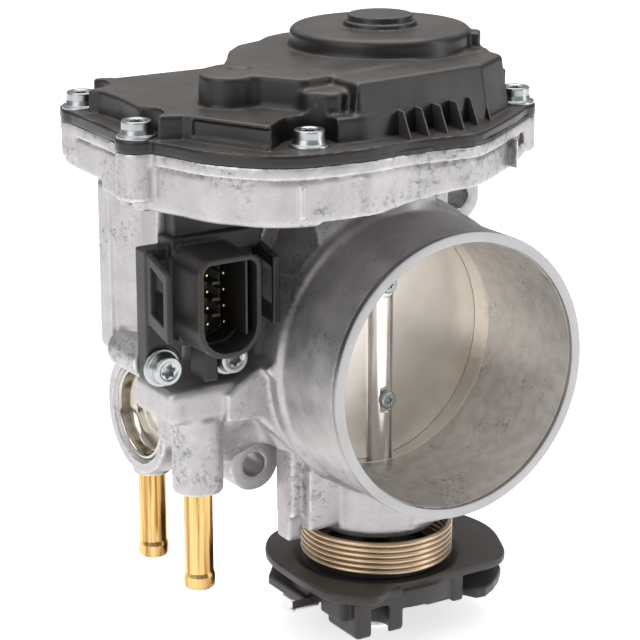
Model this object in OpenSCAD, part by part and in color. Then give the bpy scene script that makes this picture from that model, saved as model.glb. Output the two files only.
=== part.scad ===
// Throttle body with cable quadrant, idle-speed gear drive, coolant passage and plastic gear cover.
// Z is the throttle shaft, Y the bore: the inlet collar faces -Y and the manifold flange faces +Y.
// The origin is the bore centre on the manifold face. Modules are drawn about the crossing of the
// shaft and the bore, and at_shaft() moves them back from the manifold face.

/* [Bore and collar] */
// Throttle bore diameter
bore_d = 70; // [60:1:76]
// Inlet collar outside diameter
collar_d = 80; // [74:1:90]
// Collar wall at the mouth
collar_lip = 2.9; // [2:0.1:4]
// Length from the shaft to the mouth
mouth_y = 41.2; // [34:0.2:50]
// Distance from the shaft to the manifold face
shaft_to_flange = 24; // [20:0.5:30]

/* [Manifold flange] */
// Thickness of the four ears
ear_t = 13.4; // [8:0.2:16]
// Bolt spacing, both ways
bolt_spacing = 69; // [64:0.5:76]
// Bolt hole diameter
bolt_hole_d = 7; // [6:0.1:8.5]
// Ear radius
ear_r = 7.8; // [6.5:0.1:10]

/* [Throttle shaft and plate] */
// Shaft diameter
shaft_d = 8.5; // [7:0.5:10]
// Plate thickness
plate_t = 2; // [1.5:0.1:3]
// Plate angle when closed
closed_angle = 5; // [3:0.5:8]
// Height of the two plate screws from the middle
plate_screw_z = 17; // [12:0.5:22]
// Radial clearance of turning parts
run_gap = 0.04; // [0.01:0.01:0.1]

/* [Gear tray and cover] */
// Height of the tray rim above the shaft and bore crossing
joint_z = 65.4; // [63:0.2:70]
// Tray depth outside
tray_depth = 15.6; // [13:0.2:20]
// Tray left side
tray_left = 80; // [76:1:88]
// Tray right side
tray_right = 36; // [34:1:44]
// Tray front side
tray_front = 50; // [48:0.5:56]
// Tray rear side
tray_rear = 40; // [38:0.5:46]
// Wall of the casting
wall = 3; // [2.4:0.1:4]
// Cover flange thickness
cover_flange_t = 3.4; // [2.5:0.1:5]
// Wall of the plastic cover
cover_wall = 2.2; // [1.6:0.1:3]
// Height of the low left part of the cover over the rim
low_h = 10; // [9:0.5:13]
// Height of the middle part of the cover over the rim
mid_h = 18.4; // [17:0.2:22]
// Height of the round dome over the rim
dome_h = 23.8; // [23:0.2:28]
// Dome diameter
dome_d = 50; // [46:0.5:54]

/* [Gear drive] */
// Gear module
gear_m = 1; // [0.8:0.05:1.2]
// Teeth of the full sector circle
sector_z = 72; // [60:1:80]
// Teeth of the small intermediate pinion
small_z = 12; // [11:1:16]
// Teeth of the large intermediate wheel
large_z = 44; // [36:1:50]
// Teeth of the motor pinion
motor_z = 12; // [11:1:16]
// Motor can diameter
motor_d = 30; // [26:0.5:34]
// Motor axis, sideways from the shaft
motor_x = 57.5; // [54:0.5:62]
// Motor axis, behind the shaft
motor_y = 19; // [16:0.5:22]

/* [Coolant passage] */
// Height of the passage below the bore centre
cool_z = 16.8; // [14:0.2:20]
// Passage behind the shaft
cool_y = 21.6; // [18:0.2:24]
// Plug boss diameter
plug_boss_d = 34.4; // [30:0.2:38]
// Hose nipple diameter
nipple_d = 8; // [6:0.5:10]
// Lower end of the nipples
nipple_low = 61.6; // [54:0.2:70]

/* [Quadrant and spring] */
// Return spring outside diameter
spring_d = 44; // [40:0.5:48]
// Spring wire
spring_wire = 1.7; // [1.4:0.1:2]
// Spring coils
spring_turns = 5.25; // [4:0.25:8]
// Bottom of the lower shaft boss
boss_low = 54; // [50:0.5:58]
// Lower boss diameter
boss_d = 34.8; // [30:0.2:37]

/* [Connector] */
// Socket width
socket_w = 19.5; // [17:0.5:24]
// Socket height
socket_h = 27.5; // [24:0.5:32]
// Socket depth
socket_depth = 17; // [14:0.5:20]

/* [Hidden] */
$fn = 96;

fit = 0.05;                       // gap between parts that are bolted or pushed together
bore_r = bore_d / 2;
collar_r = collar_d / 2;
body_r = collar_r + 2.6;
collar_free = 18.4;               // the plain collar ends this far in front of the shaft
shaft_r = shaft_d / 2;
plate_r = bore_r - 0.08;
hs = bolt_spacing / 2;
ear_front = shaft_to_flange - ear_t;
flange_top_z = joint_z + cover_flange_t;
gasket_t = 0.8;
tray_floor_z = joint_z - tray_depth + wall;      // top of the tray floor
tray_low_z = joint_z - tray_depth;
corner_r = 6;
xl = -tray_left + corner_r;
xr = tray_right - corner_r;
yf = -tray_front + corner_r;
yr = tray_rear - corner_r;
tray_pts = [[xl, yr], [xl, yf + 46], [xl + 2, yf + 30], [xl + 8, yf + 16], [xl + 16.5, yf + 5],
  [xl + 25, yf + 0.6], [xl + 32, yf], [xr - 31, yf], [xr - 28, yf + 1.5], [xr - 2, yf + 20],
  [xr, yf + 24], [xr, yr - 12], [xr - 8, yr - 3], [xr - 40, yr - 1]];
low_pts = [[xl + 6, yr - 4], [xl + 5, yf + 44], [xl + 6, yf + 30], [xl + 11, yf + 18], [xl + 19, yf + 8],
  [xl + 26, yf + 5.5], [xl + 34, yf + 5.5], [xr - 32, yf + 7], [xr - 32, yr - 6]];
mid_pts = [[18, -18], [18, 12], [10, 22], [-6, 26], [-20, 24], [-35, 13], [-43, 2], [-42, -25]];
box_pts = [[-32.5, -37], [9, -33], [20, -24.5], [21.5, 14], [-10, 16]];
// cover screws: front left, front middle, rear left, right, rear right
cover_screw_at = [[-tray_left + 1, -8], [xl + 26.5, yf + 3.5], [-tray_left + 5.5, yr - 1.5],
  [xr - 1.5, yf + 20.5], [xr - 8, yr - 3]];
screw_hole_r = 2.1;
// gear train
sector_r = gear_m * sector_z / 2;
d_sector = gear_m * (sector_z + small_z) / 2;
d_motor = gear_m * (large_z + motor_z) / 2;
motor_dist = norm([motor_x, motor_y]);
run_a = (d_sector * d_sector - d_motor * d_motor + motor_dist * motor_dist) / (2 * motor_dist);
run_h = sqrt(d_sector * d_sector - run_a * run_a);
mid_x = -motor_x / motor_dist * run_a - motor_y / motor_dist * run_h;
mid_y = motor_y / motor_dist * run_a - motor_x / motor_dist * run_h;
ang_sector = atan2(mid_y, mid_x);
ang_motor = atan2(motor_y - mid_y, -motor_x - mid_x);
gear_thin = 0.09;                 // backlash taken off each tooth flank
sector_z0 = tray_floor_z + 1.6;
sector_t = 4.4;
wheel_z0 = sector_z0 + sector_t + 0.8;
wheel_t = 4;
motor_top = tray_floor_z - 0.2;
motor_len = 44;
barrel_r = motor_d / 2 + 0.3 + 2.2;
barrel_low = motor_top - motor_len - 4;
// quadrant
groove_r = 25;
spring_r = spring_d / 2 - spring_wire / 2;
boss_r = min(boss_d / 2, spring_d / 2 - spring_wire - 1.2);   // the boss stays inside the spring
spring_top = boss_low - 0.9;
spring_pitch = spring_wire + 0.06;
quad_top = spring_top + spring_wire + spring_pitch * spring_turns + 0.25;
post_x = -29.6;
// connector
conn_x = -collar_r - 21.7;
conn_z = 25.6;
plate_y = -8;
plate_back = -2.2;
conn_mid = conn_x - 1.4;
conn_screw_x = 10;
conn_screw_z = 6.2;
conn_left = conn_x - 15.7;

module at_shaft() { translate([0, -shaft_to_flange, 0]) children(); }
module tube(r1, r2, h) { difference() { cylinder(r = r1, h = h); translate([0, 0, -1]) cylinder(r = r2, h = h + 2); } }
// outline with round corners about the given corner centres, which run anticlockwise
function unit(v) = v / norm(v);
function out_of(u) = [u[1], -u[0]];
function rounded(pts, r) = let (n = len(pts)) [for (i = [0 : n - 1])
  let (u = unit(pts[i] - pts[(i + n - 1) % n]), v = unit(pts[(i + 1) % n] - pts[i]),
    turn = atan2(u[0] * v[1] - u[1] * v[0], u * v), a = atan2(-u[0], u[1]), k = max(1, ceil(turn / 9)))
  each turn > 0.5 ? [for (j = [0 : k]) pts[i] + r * [cos(a + turn * j / k), sin(a + turn * j / k)]]
    : [pts[i] + r * (out_of(u) + out_of(v)) / (1 + u * v)]];
module outline(pts, r) { polygon(rounded(pts, r)); }
module slab(pts, r, z0, z1) { translate([0, 0, z0]) linear_extrude(z1 - z0) outline(pts, r); }
module along_y(y0, y1, r, x = 0, z = 0) { translate([x, y0, z]) rotate([-90, 0, 0]) cylinder(r = r, h = y1 - y0); }
module along_x(x0, x1, r, y = 0, z = 0) { translate([x0, y, z]) rotate([0, 90, 0]) cylinder(r = r, h = x1 - x0); }
module block(x0, x1, y0, y1, z0, z1) { translate([x0, y0, z0]) cube([x1 - x0, y1 - y0, z1 - z0]); }
// flange head screw standing on z = 0, shank down
module flange_screw(head_r, flange_r, shank_r, shank_l) {
  difference() {
    union() {
      cylinder(r1 = flange_r, r2 = flange_r - 0.5, h = 1.1);
      translate([0, 0, 1]) cylinder(r = head_r, h = 3.6);
    }
    for (a = [0, 60, 120]) rotate(a) translate([-1.95, -0.55, 2.4]) cube([3.9, 1.1, 3]);
    translate([0, 0, 2.4]) cylinder(r = 1.45, h = 3);
  }
  translate([0, 0, -shank_l]) cylinder(r = shank_r, h = shank_l + 0.2);
}
function polar(r, a) = [r * cos(a), r * sin(a)];
// involute tooth, pressure angle 25 degrees, addendum 0.8, dedendum 1.05
function tooth(z, m) = let (pa = 25, rp = m * z / 2, rb = rp * cos(pa), ra = rp + 0.8 * m, rr = rp - 1.05 * m,
  hb = 90 / z - gear_thin / rp * 57.2958 + (tan(pa) * 57.2958 - pa),
  ta = sqrt(ra * ra / rb / rb - 1) * 57.2958,
  t0 = rr > rb ? sqrt(rr * rr / rb / rb - 1) * 57.2958 : 0,
  side = [for (i = [0 : 4]) let (t = t0 + (ta - t0) * i / 4) [rb * sqrt(1 + pow(t / 57.2958, 2)),
    -hb + t - atan(t / 57.2958)]],
  foot = rr > rb ? [] : [[rr, -hb]])
  concat([for (p = foot) polar(p[0], p[1])], [for (p = side) polar(p[0], p[1])],
    [for (i = [4 : -1 : 0]) polar(side[i][0], -side[i][1])], [for (p = foot) polar(p[0], -p[1])]);
function turned(p, a) = [p[0] * cos(a) - p[1] * sin(a), p[0] * sin(a) + p[1] * cos(a)];
module gear2d(z, m) { polygon([for (i = [0 : z - 1]) for (p = tooth(z, m)) turned(p, i * 360 / z)]); }
module sector2d(z, m, k0, k1) {
  polygon(concat([[0, 0]], [for (i = [k0 : k1]) for (p = tooth(z, m)) turned(p, i * 360 / z)]));
}

// ---- casting ----
// the tray is shallower at its right-hand front and right end
module raised_floor(t) {
  block(-4 - t, tray_right + 5, -tray_front - 5, -19.5 + t, tray_low_z - 3, tray_low_z + 4.2 + t);
  block(19 - t, tray_right + 5, -30, tray_rear + 5, tray_low_z - 3, tray_low_z + 4.2 + t);
}
module tray_body() {
  difference() {
    slab(tray_pts, corner_r - 1.2, tray_low_z, joint_z - 3);
    raised_floor(0);
  }
  slab(tray_pts, corner_r, joint_z - 3, joint_z);
  for (p = cover_screw_at) translate([p[0], p[1], tray_low_z + 3]) cylinder(r = 5.6, h = tray_depth - 3);
}
module bore_body() {
  along_y(-mouth_y, 0, collar_r);
  along_y(-collar_free, ear_front + 4, body_r);
  along_y(ear_front + 0.6, shaft_to_flange, body_r + 2);
  for (sx = [-1, 1], sz = [-1, 1]) {
    along_y(ear_front, shaft_to_flange, ear_r, sx * hs, sz * hs);
    translate([0, ear_front + 1.2, 0]) rotate([0, -atan2(sz, sx), 0])
      translate([collar_r, 0, -ear_r + 0.7]) cube([hs * sqrt(2) - collar_r - bolt_hole_d / 2 - 1, ear_t - 1.2, 2 * ear_r - 1.4]);
  }
}
module shaft_bosses() {
  translate([0, 0, bore_r]) cylinder(r = 15, h = tray_low_z - bore_r + 1);
  translate([0, 0, -boss_low]) cylinder(r = boss_r, h = boss_low - bore_r);
  block(-2, 16, -boss_r - 0.6, 4, -boss_low + 3, -bore_r);
  // neck under the tray
  block(-34, 24, -17, 20, 20, tray_low_z + 1.2);
  // spring post
  block(post_x - 3.6, post_x + 3.6, -3.5, 5, -boss_low - 0.8, -16);
}
module motor_barrel() {
  translate([-motor_x, motor_y, barrel_low]) cylinder(r1 = barrel_r - 0.8, r2 = barrel_r, h = tray_low_z - barrel_low + 1.4);
  block(-motor_x, -20, motor_y - 10, motor_y + 4.5, barrel_low + 6, tray_low_z + 1.6);
}
module coolant_body() {
  along_x(-66, -46, plug_boss_d / 2, cool_y, -cool_z);
  block(-54, -30, cool_y - 14, shaft_to_flange - 0.7, -cool_z - 13, -cool_z + 12);
  block(-72, -38, -7.5, cool_y - 9, -cool_z + 5, -cool_z + 16);
  block(-66, -30, -1.4, cool_y - 1, -cool_z - 7, -cool_z + 8);
  translate([-59.2, -1.2, -33]) cylinder(r = 7, h = 22);
  translate([-59, 26.1, -36.4]) cylinder(r = 5.4, h = 9);
}
module connector_pads() {
  for (sx = [-1, 1]) along_y(plate_back, motor_y - 5, 5.2, conn_mid + sx * conn_screw_x, conn_screw_z);
  block(conn_x - 9, conn_x + 11, plate_back, motor_y - 1, 34, tray_low_z + 1.8);
}
module housing_outside() {
  bore_body();
  shaft_bosses();
  tray_body();
  motor_barrel();
  coolant_body();
  connector_pads();
}
module housing_inside() {
  // bore and tapered mouth
  along_y(-mouth_y - 1, shaft_to_flange + 1, bore_r);
  translate([0, -mouth_y, 0]) rotate([-90, 0, 0])
    cylinder(r1 = collar_r - collar_lip, r2 = bore_r, h = mouth_y - 3);
  // shaft, bearings, seal
  translate([0, 0, -boss_low - 1]) cylinder(r = shaft_r + 0.5, h = boss_low + tray_floor_z + 2);
  translate([0, 0, tray_floor_z - 11]) cylinder(r = shaft_r + 2.5 + fit, h = 12);
  translate([0, 0, -boss_low - 1]) cylinder(r = shaft_r + 2.5 + fit, h = 15);
  // tray
  difference() {
    slab(tray_pts, corner_r - 1.2 - wall, tray_floor_z, joint_z + 1);
    raised_floor(2.4);
    for (p = cover_screw_at) translate([p[0], p[1], tray_low_z]) cylinder(r = 5.2, h = tray_depth + 2);
  }
  for (p = cover_screw_at) translate([p[0], p[1], joint_z - 12]) cylinder(r = 2.05, h = 13);
  // gear pin
  translate([mid_x, mid_y, tray_floor_z - 2.4]) cylinder(r = 2.5 + fit, h = 4);
  // motor
  translate([-motor_x, motor_y, motor_top - motor_len - 0.3]) cylinder(r = motor_d / 2 + 0.3, h = motor_len + 5);
  clamp_holes(1.55, tray_floor_z - 2.2, tray_floor_z + 2);
  // coolant
  along_x(-67, -66 + 7, plug_boss_d / 2 - 4.2, cool_y, -cool_z);
  along_x(-60, -46, 8.5, cool_y, -cool_z);
  along_x(-47, -28, 5, cool_y, -cool_z);
  translate([-59, 26.1, -38]) cylinder(r = nipple_d / 2 + 0.02, h = 12);
  translate([-59.2, -1.2, -34]) cylinder(r = nipple_d / 2 + 0.02, h = 12);
  translate([-59.2, -1.2, -24]) cylinder(r = 3, h = 9);
  translate([-59.2, -1.2, -cool_z]) rotate([-90, 0, 0]) cylinder(r = 3, h = cool_y);
  // connector screws
  for (sx = [-1, 1]) along_y(plate_back - 1, plate_back + 10, 2.05, conn_mid + sx * conn_screw_x, conn_screw_z);
  // cable way from the connector up into the tray
  block(conn_x - 5, conn_x + 5, plate_back - 1, plate_back + 3, 34, tray_floor_z + 1);
  // flange bolts
  for (sx = [-1, 1], sz = [-1, 1]) along_y(ear_front - 20, shaft_to_flange + 1, bolt_hole_d / 2, sx * hs, sz * hs);
}
module throttle_housing() {
  color([0.72, 0.71, 0.69]) difference() { housing_outside(); housing_inside(); }
}

// ---- cover ----
module cover_bulk(d, dz) {
  slab(low_pts, corner_r - d, joint_z, joint_z + low_h - dz);
  slab(mid_pts, 4.5 - d, joint_z, joint_z + mid_h - dz);
  slab([[-54.5, -12.5], [-44, -16], [-44, -8]], 7.6 - d, joint_z, joint_z + mid_h - dz);
  slab(box_pts, 3.6 - d, joint_z, joint_z + mid_h - 0.4 - dz);
  translate([0, 0, joint_z]) cylinder(r = dome_d / 2 - d, h = dome_h - dz);
}
module gear_cover() {
  color([0.06, 0.06, 0.065]) difference() {
    union() {
      slab(tray_pts, corner_r, joint_z + 0.02, flange_top_z);
      for (p = cover_screw_at) translate([p[0], p[1], joint_z + 0.02]) cylinder(r = 5.6, h = cover_flange_t);
      difference() {
        translate([0, 0, 0.02]) cover_bulk(0, 0);
        for (p = cover_screw_at) translate([p[0], p[1], flange_top_z]) cylinder(r = 7.1, h = 30);
      }
      translate([0, 0, joint_z + dome_h - 1]) cylinder(r = 9, h = 4.2);
    }
    difference() {
      translate([0, 0, -1]) cover_bulk(cover_wall, cover_wall - 1);
      for (p = cover_screw_at) translate([p[0], p[1], joint_z - 2]) cylinder(r = 7.1 + cover_wall, h = 40);
    }
    for (p = cover_screw_at) translate([p[0], p[1], joint_z - 1]) cylinder(r = screw_hole_r + 0.3, h = 12);
    // recess for the gasket
    difference() {
      slab(tray_pts, corner_r - 1, joint_z - 1, joint_z + gasket_t + 0.3);
      slab(tray_pts, corner_r - 3.9, joint_z - 2, joint_z + gasket_t + 1);
    }
  }
}
module cover_gasket() {
  color([0.08, 0.08, 0.08]) difference() {
    slab(tray_pts, corner_r - 1.05, joint_z + 0.01, joint_z + gasket_t + 0.2);
    slab(tray_pts, corner_r - 3.85, joint_z - 1, joint_z + gasket_t + 1);
    for (p = cover_screw_at) translate([p[0], p[1], joint_z - 2]) cylinder(r = screw_hole_r + 0.6, h = 8);
  }
}
module cover_screws() {
  color([0.75, 0.75, 0.76]) for (p = cover_screw_at) translate([p[0], p[1], flange_top_z + 0.02])
    flange_screw(4, 5.3, 2, cover_flange_t + 9);
}

// ---- throttle ----
shaft_top = joint_z + 14;
shaft_low = -quad_top - 22;
module throttle_shaft() {
  color([0.6, 0.6, 0.6]) difference() {
    translate([0, 0, shaft_low]) cylinder(r = shaft_r, h = shaft_top - shaft_low);
    // slot and screw holes for the plate
    rotate(closed_angle) block(-20, 20, -plate_t / 2 - fit, plate_t / 2 + fit, -bore_r - 0.4, bore_r + 0.4);
    rotate(closed_angle) for (s = [-1, 1]) {
      along_y(-10, 10, 1.6, 0, s * plate_screw_z);
      along_y(-10, -shaft_r + 0.5, 4, 0, s * plate_screw_z);
    }
    // flats for the lever and the quadrant
    for (s = [-1, 1]) translate([s * (shaft_r - 0.9 + 5), 0, 0]) {
      translate([-5, -10, wheel_z0 - 0.6]) cube([10, 20, 40]);
      translate([-5, -10, shaft_low - 1]) cube([10, 20, -quad_top - shaft_low + 1.6]);
    }
  }
}
module flat_hole(z0, z1) {
  intersection() {
    translate([0, 0, z0]) cylinder(r = shaft_r + fit, h = z1 - z0);
    translate([-shaft_r + 0.9 - fit, -10, z0]) cube([2 * (shaft_r - 0.9 + fit), 20, z1 - z0]);
  }
}
module throttle_plate() {
  color([0.7, 0.66, 0.58]) difference() {
    intersection() {
      rotate(closed_angle) block(-60, 60, -plate_t / 2, plate_t / 2, -60, 60);
      along_y(-20, 20, plate_r);
    }
    rotate(closed_angle) for (s = [-1, 1]) along_y(-10, 10, 1.6, 0, s * plate_screw_z);
  }
}
module plate_screws() {
  color([0.75, 0.75, 0.76]) rotate(closed_angle) for (s = [-1, 1]) difference() {
    union() {
      along_y(-shaft_r - 1.2, -shaft_r + 0.5 - 0.03, 2.6, 0, s * plate_screw_z);
      along_y(-shaft_r + 0.4, shaft_r - 0.2, 1.5, 0, s * plate_screw_z);
    }
    for (a = [0, 60, 120]) translate([0, -shaft_r - 1.5, s * plate_screw_z]) rotate([0, a, 0]) translate([-1.1, 0, -0.3]) cube([2.2, 1.2, 0.6]);
  }
}
module upper_bearing() {
  color([0.55, 0.55, 0.56]) translate([0, 0, tray_floor_z - 10.9]) tube(shaft_r + 2.5, shaft_r + run_gap, 10.6);
}
module lower_bearing() {
  color([0.55, 0.55, 0.56]) translate([0, 0, -boss_low + 3.6]) tube(shaft_r + 2.5, shaft_r + run_gap, 10);
}
module shaft_seal() {
  color([0.1, 0.1, 0.1]) translate([0, 0, -boss_low + 0.4]) tube(shaft_r + 2.5, shaft_r + run_gap, 3);
}
lever_z = wheel_z0 + 0.4;
module throttle_lever() {
  color([0.62, 0.6, 0.55]) difference() {
    union() {
      translate([0, 0, lever_z]) cylinder(r = 8, h = 2.4);
      rotate(-40) translate([0, -3.5, lever_z]) cube([17, 7, 2.4]);
    }
    flat_hole(lever_z - 1, lever_z + 4);
  }
}
module wiper_arm() {
  color([0.12, 0.12, 0.12]) difference() {
    union() {
      translate([0, 0, lever_z + 2.5]) cylinder(r = 7, h = 5);
      rotate(120) translate([0, -3, lever_z + 5.6]) cube([16, 6, 1.6]);
    }
    flat_hole(lever_z + 2, lever_z + 8);
  }
}
module shaft_nut() {
  color([0.7, 0.7, 0.7]) translate([0, 0, lever_z + 7.6]) difference() {
    cylinder(r = 6.4, h = 3.4, $fn = 6);
    flat_hole(-1, 5);
  }
}

// ---- quadrant, spring ----
module quad_flange(z, t) {
  translate([0, 0, z]) linear_extrude(t) {
    circle(r = 28.8);
    polygon([[-28, -6], [-26.6, -21], [-17, -28.6], [-6, -24], [0, 0]]);
    polygon([[0, -24], [27, -23.4], [35.5, -13], [39.5, 0], [36, 14], [20, 22], [0, 0]]);
    polygon([[-28.6, 4], [-27, 19], [-18, 29.5], [-6, 30.5], [0, 0]]);
  }
}
module cable_quadrant() {
  color([0.05, 0.05, 0.055]) difference() {
    union() {
      quad_flange(-quad_top - 3.4, 3.4);
      translate([0, 0, -quad_top - 8]) cylinder(r = groove_r, h = 5);
      difference() {
        quad_flange(-quad_top - 10.8, 3.2);
        block(-60, 14, -60, 0, -quad_top - 12, -quad_top - 7);
      }
      translate([0, 0, -quad_top - 16]) cylinder(r = 9, h = 14);
      // spring hub
      translate([0, 0, -quad_top - 1]) tube(spring_r - spring_wire / 2 - 0.5, 15.5, 3.6);
      // cable end seat
      block(-22, -6, -24, -8, -quad_top - 14.5, -quad_top - 3);
      block(2, 11, -23, -6, -quad_top - 10, -quad_top - 3);
    }
    flat_hole(-quad_top - 17, -quad_top + 6);
    translate([-14, -18, -quad_top - 15]) cylinder(r = 3.6, h = 9);
    block(-16, -12, -26, -18, -quad_top - 15, -quad_top - 6);
    translate([0, 0, -quad_top - 0.2]) cylinder(r = 15.5, h = 5);
    block(-31, -24, -8.1, -2.9, -quad_top - 9.1, -quad_top - 6.9);
  }
}
module quadrant_insert() {
  color([0.75, 0.72, 0.68]) {
    block(-34, -24.2, -8, -3, -quad_top - 9, -quad_top - 7);
    block(-34, -33, -8, -3, -quad_top - 9, -quad_top - 4.6);
  }
}
module quadrant_nut() {
  color([0.7, 0.7, 0.7]) translate([0, 0, -quad_top - 16.1 - 4]) difference() {
    cylinder(r = 7.2, h = 4, $fn = 6);
    flat_hole(-1, 6);
  }
}
// coil as a swept round wire: each point is x, y, z and the direction of the wire's side.
// The leg behind the post runs into the coil through a bend of radius coil_bend.
coil_start = 172;
coil_bend = 2.6;
bend_x = spring_r * cos(coil_start) - coil_bend * cos(coil_start - 180);
bend_y = spring_r * sin(coil_start) - coil_bend * sin(coil_start - 180);
coil_z = -spring_top - spring_wire / 2;
coil_n = round(30 * spring_turns);
coil_path = concat([[post_x - 1.5, bend_y + coil_bend, coil_z, -90]],
  [for (i = [0 : 5]) let (a = 90 - (270 - coil_start) * i / 6)
    [bend_x + coil_bend * cos(a), bend_y + coil_bend * sin(a), coil_z, a - 180]],
  [for (i = [0 : coil_n]) let (a = coil_start - 360 + 360 * spring_turns * i / coil_n)
    [spring_r * cos(a), spring_r * sin(a), coil_z - spring_pitch * spring_turns * i / coil_n, a]]);
module return_spring() {
  m = len(coil_path);
  pts = [for (c = coil_path) for (j = [0 : 7]) let (b = 45 * j, rr = spring_wire / 2)
    [c[0] + rr * cos(b) * cos(c[3]), c[1] + rr * cos(b) * sin(c[3]), c[2] + rr * sin(b)]];
  faces = concat([[for (j = [0 : 7]) j]], [[for (j = [7 : -1 : 0]) (m - 1) * 8 + j]],
    [for (i = [0 : m - 2]) for (j = [0 : 7]) [i * 8 + j, (i + 1) * 8 + j, (i + 1) * 8 + (j + 1) % 8, i * 8 + (j + 1) % 8]]);
  color([0.6, 0.5, 0.35]) polyhedron(points = pts, faces = faces);
}

// ---- gear drive ----
module gear_sector() {
  color([0.85, 0.82, 0.72]) difference() {
    union() {
      translate([0, 0, sector_z0]) linear_extrude(sector_t) union() {
        circle(r = 10);
        rotate(ang_sector) sector2d(sector_z, gear_m, -6, 3);
        rotate(-40) polygon([[0, -8], [16.4, -8], [16.4, 1], [0, 6]]);
      }
      // driver for the throttle lever
      rotate(-40) translate([10, -6.5 - run_gap, sector_z0 + 1]) cube([5.6, 3, sector_t + 2.4]);
    }
    translate([0, 0, sector_z0 - 1]) cylinder(r = shaft_r + run_gap, h = sector_t + 2);
  }
}
module intermediate_gear() {
  color([0.85, 0.83, 0.78]) translate([mid_x, mid_y, 0]) difference() {
    union() {
      translate([0, 0, sector_z0]) linear_extrude(sector_t + 1) rotate(ang_sector + 180 + 180 / small_z) gear2d(small_z, gear_m);
      translate([0, 0, wheel_z0]) linear_extrude(wheel_t) rotate(ang_motor) gear2d(large_z, gear_m);
    }
    translate([0, 0, sector_z0 - 1]) cylinder(r = 2.5 + run_gap, h = 20);
  }
}
module gear_pin() {
  color([0.65, 0.65, 0.66]) translate([mid_x, mid_y, tray_floor_z - 2.2]) cylinder(r = 2.5, h = joint_z + 5 - tray_floor_z);
}
module idle_motor() {
  color([0.5, 0.5, 0.5]) translate([-motor_x, motor_y, motor_top - motor_len]) difference() {
    cylinder(r = motor_d / 2, h = motor_len);
    translate([0, 0, motor_len - 12]) cylinder(r = 1.5 + run_gap, h = 13);
  }
}
module motor_pinion() {
  color([0.78, 0.66, 0.35]) translate([-motor_x, motor_y, 0]) {
    translate([0, 0, motor_top - 11]) cylinder(r = 1.5, h = 18);
    translate([0, 0, wheel_z0 - 1]) linear_extrude(wheel_t + 2) rotate(ang_motor + 180 + 180 / motor_z) gear2d(motor_z, gear_m);
  }
}
// two clamp screws on the free side of the motor
clamp_angles = [30, -110];
clamp_r = motor_d / 2 + 3.2;
module clamp_holes(r, z0, z1) {
  for (a = clamp_angles) translate([-motor_x + clamp_r * cos(a), motor_y + clamp_r * sin(a), z0]) cylinder(r = r, h = z1 - z0);
}
module motor_clamp() {
  color([0.68, 0.68, 0.68]) difference() {
    slab([[-motor_x - 8, motor_y + 4], [-motor_x + clamp_r * cos(clamp_angles[1]), motor_y + clamp_r * sin(clamp_angles[1])],
      [-motor_x + clamp_r * cos(clamp_angles[0]), motor_y + clamp_r * sin(clamp_angles[0])]], 3.2, tray_floor_z + 0.02, tray_floor_z + 1.62);
    translate([-motor_x, motor_y, tray_floor_z - 1]) cylinder(r = 3.4, h = 4);
    clamp_holes(1.7, tray_floor_z - 1, tray_floor_z + 3);
  }
}
module motor_screws() {
  color([0.75, 0.75, 0.76]) {
    clamp_holes(2.8, tray_floor_z + 1.66, tray_floor_z + 3.2);
    clamp_holes(1.5, tray_floor_z - 1.9, tray_floor_z + 1.8);
  }
}
module sensor_board() {
  color([0.1, 0.3, 0.15]) difference() {
    translate([0, 0, joint_z + dome_h - cover_wall - 4]) cylinder(r = dome_d / 2 - cover_wall - 0.6, h = 1.6);
    translate([0, 0, joint_z + dome_h - 10]) cylinder(r = shaft_r + 1.5, h = 10);
  }
}
module sensor_screws() {
  color([0.75, 0.75, 0.76]) for (a = [30, 150, 270]) rotate(a) translate([15, 0, joint_z + dome_h - cover_wall - 5.4])
    cylinder(r = 1.8, h = 1.3);
}

// ---- connector ----
module rounded_socket(w, h, r1, r2) {
  // rim outline: small top corners, large bottom corners
  outline([[-w / 2 + r1, 0], [w / 2 - r1, 0], [w / 2 - r1, h / 2 - r1], [-w / 2 + r1, h / 2 - r1]], r1);
  outline([[-w / 2 + r2, -h / 2 + r2], [w / 2 - r2, -h / 2 + r2], [w / 2 - r2, 0], [-w / 2 + r2, 0]], r2);
}
module connector_housing() {
  color([0.05, 0.05, 0.055]) difference() {
    union() {
      block(conn_left, conn_x + 18.5, plate_y, plate_back - 0.02, 11, 39);
      block(conn_x - 7, conn_x + 14, plate_y, plate_back - 0.02, 38, tray_low_z - 0.4);
      block(conn_left, conn_x - 4.4, plate_y, plate_back - 0.02, 2, 12);
      block(conn_x + 3, conn_x + 15.6, plate_y, plate_back - 0.02, 1.2, 12);
      translate([conn_x, plate_y - socket_depth, conn_z]) rotate([-90, 0, 0]) mirror([0, 1, 0])
        linear_extrude(socket_depth + 1) rounded_socket(socket_w, socket_h, 3, 7);
      // side guards
      for (gx = [conn_left + 1.3, conn_x + 17.2]) block(gx - 1.3, gx + 1.3, plate_y - 11, plate_y + 1, 17, 36);
    }
    translate([conn_x, plate_y - socket_depth - 1, conn_z]) rotate([-90, 0, 0]) mirror([0, 1, 0])
      linear_extrude(socket_depth - 1) rounded_socket(socket_w - 3.6, socket_h - 3.6, 2, 5.4);
    for (sx = [-1, 1]) {
      along_y(plate_y - 1, plate_back + 1, 2.3, conn_mid + sx * conn_screw_x, conn_screw_z);
      along_y(plate_y - 1, plate_y + 0.6, 5.6, conn_mid + sx * conn_screw_x, conn_screw_z);
    }
    for (gx = [conn_left + 1.3, conn_x + 17.2]) block(gx - 2, gx + 2, plate_y - 8.6, plate_y - 1.6, 20, 33);
    for (x = [-1, 1], k = [0 : 3]) block(conn_x + x * 2.5 - 0.4, conn_x + x * 2.5 + 0.4, plate_y - 6, plate_back + 1,
      conn_z - 6.6 + 4.4 * k - 0.4, conn_z - 6.6 + 4.4 * k + 0.4);
  }
}
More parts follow.
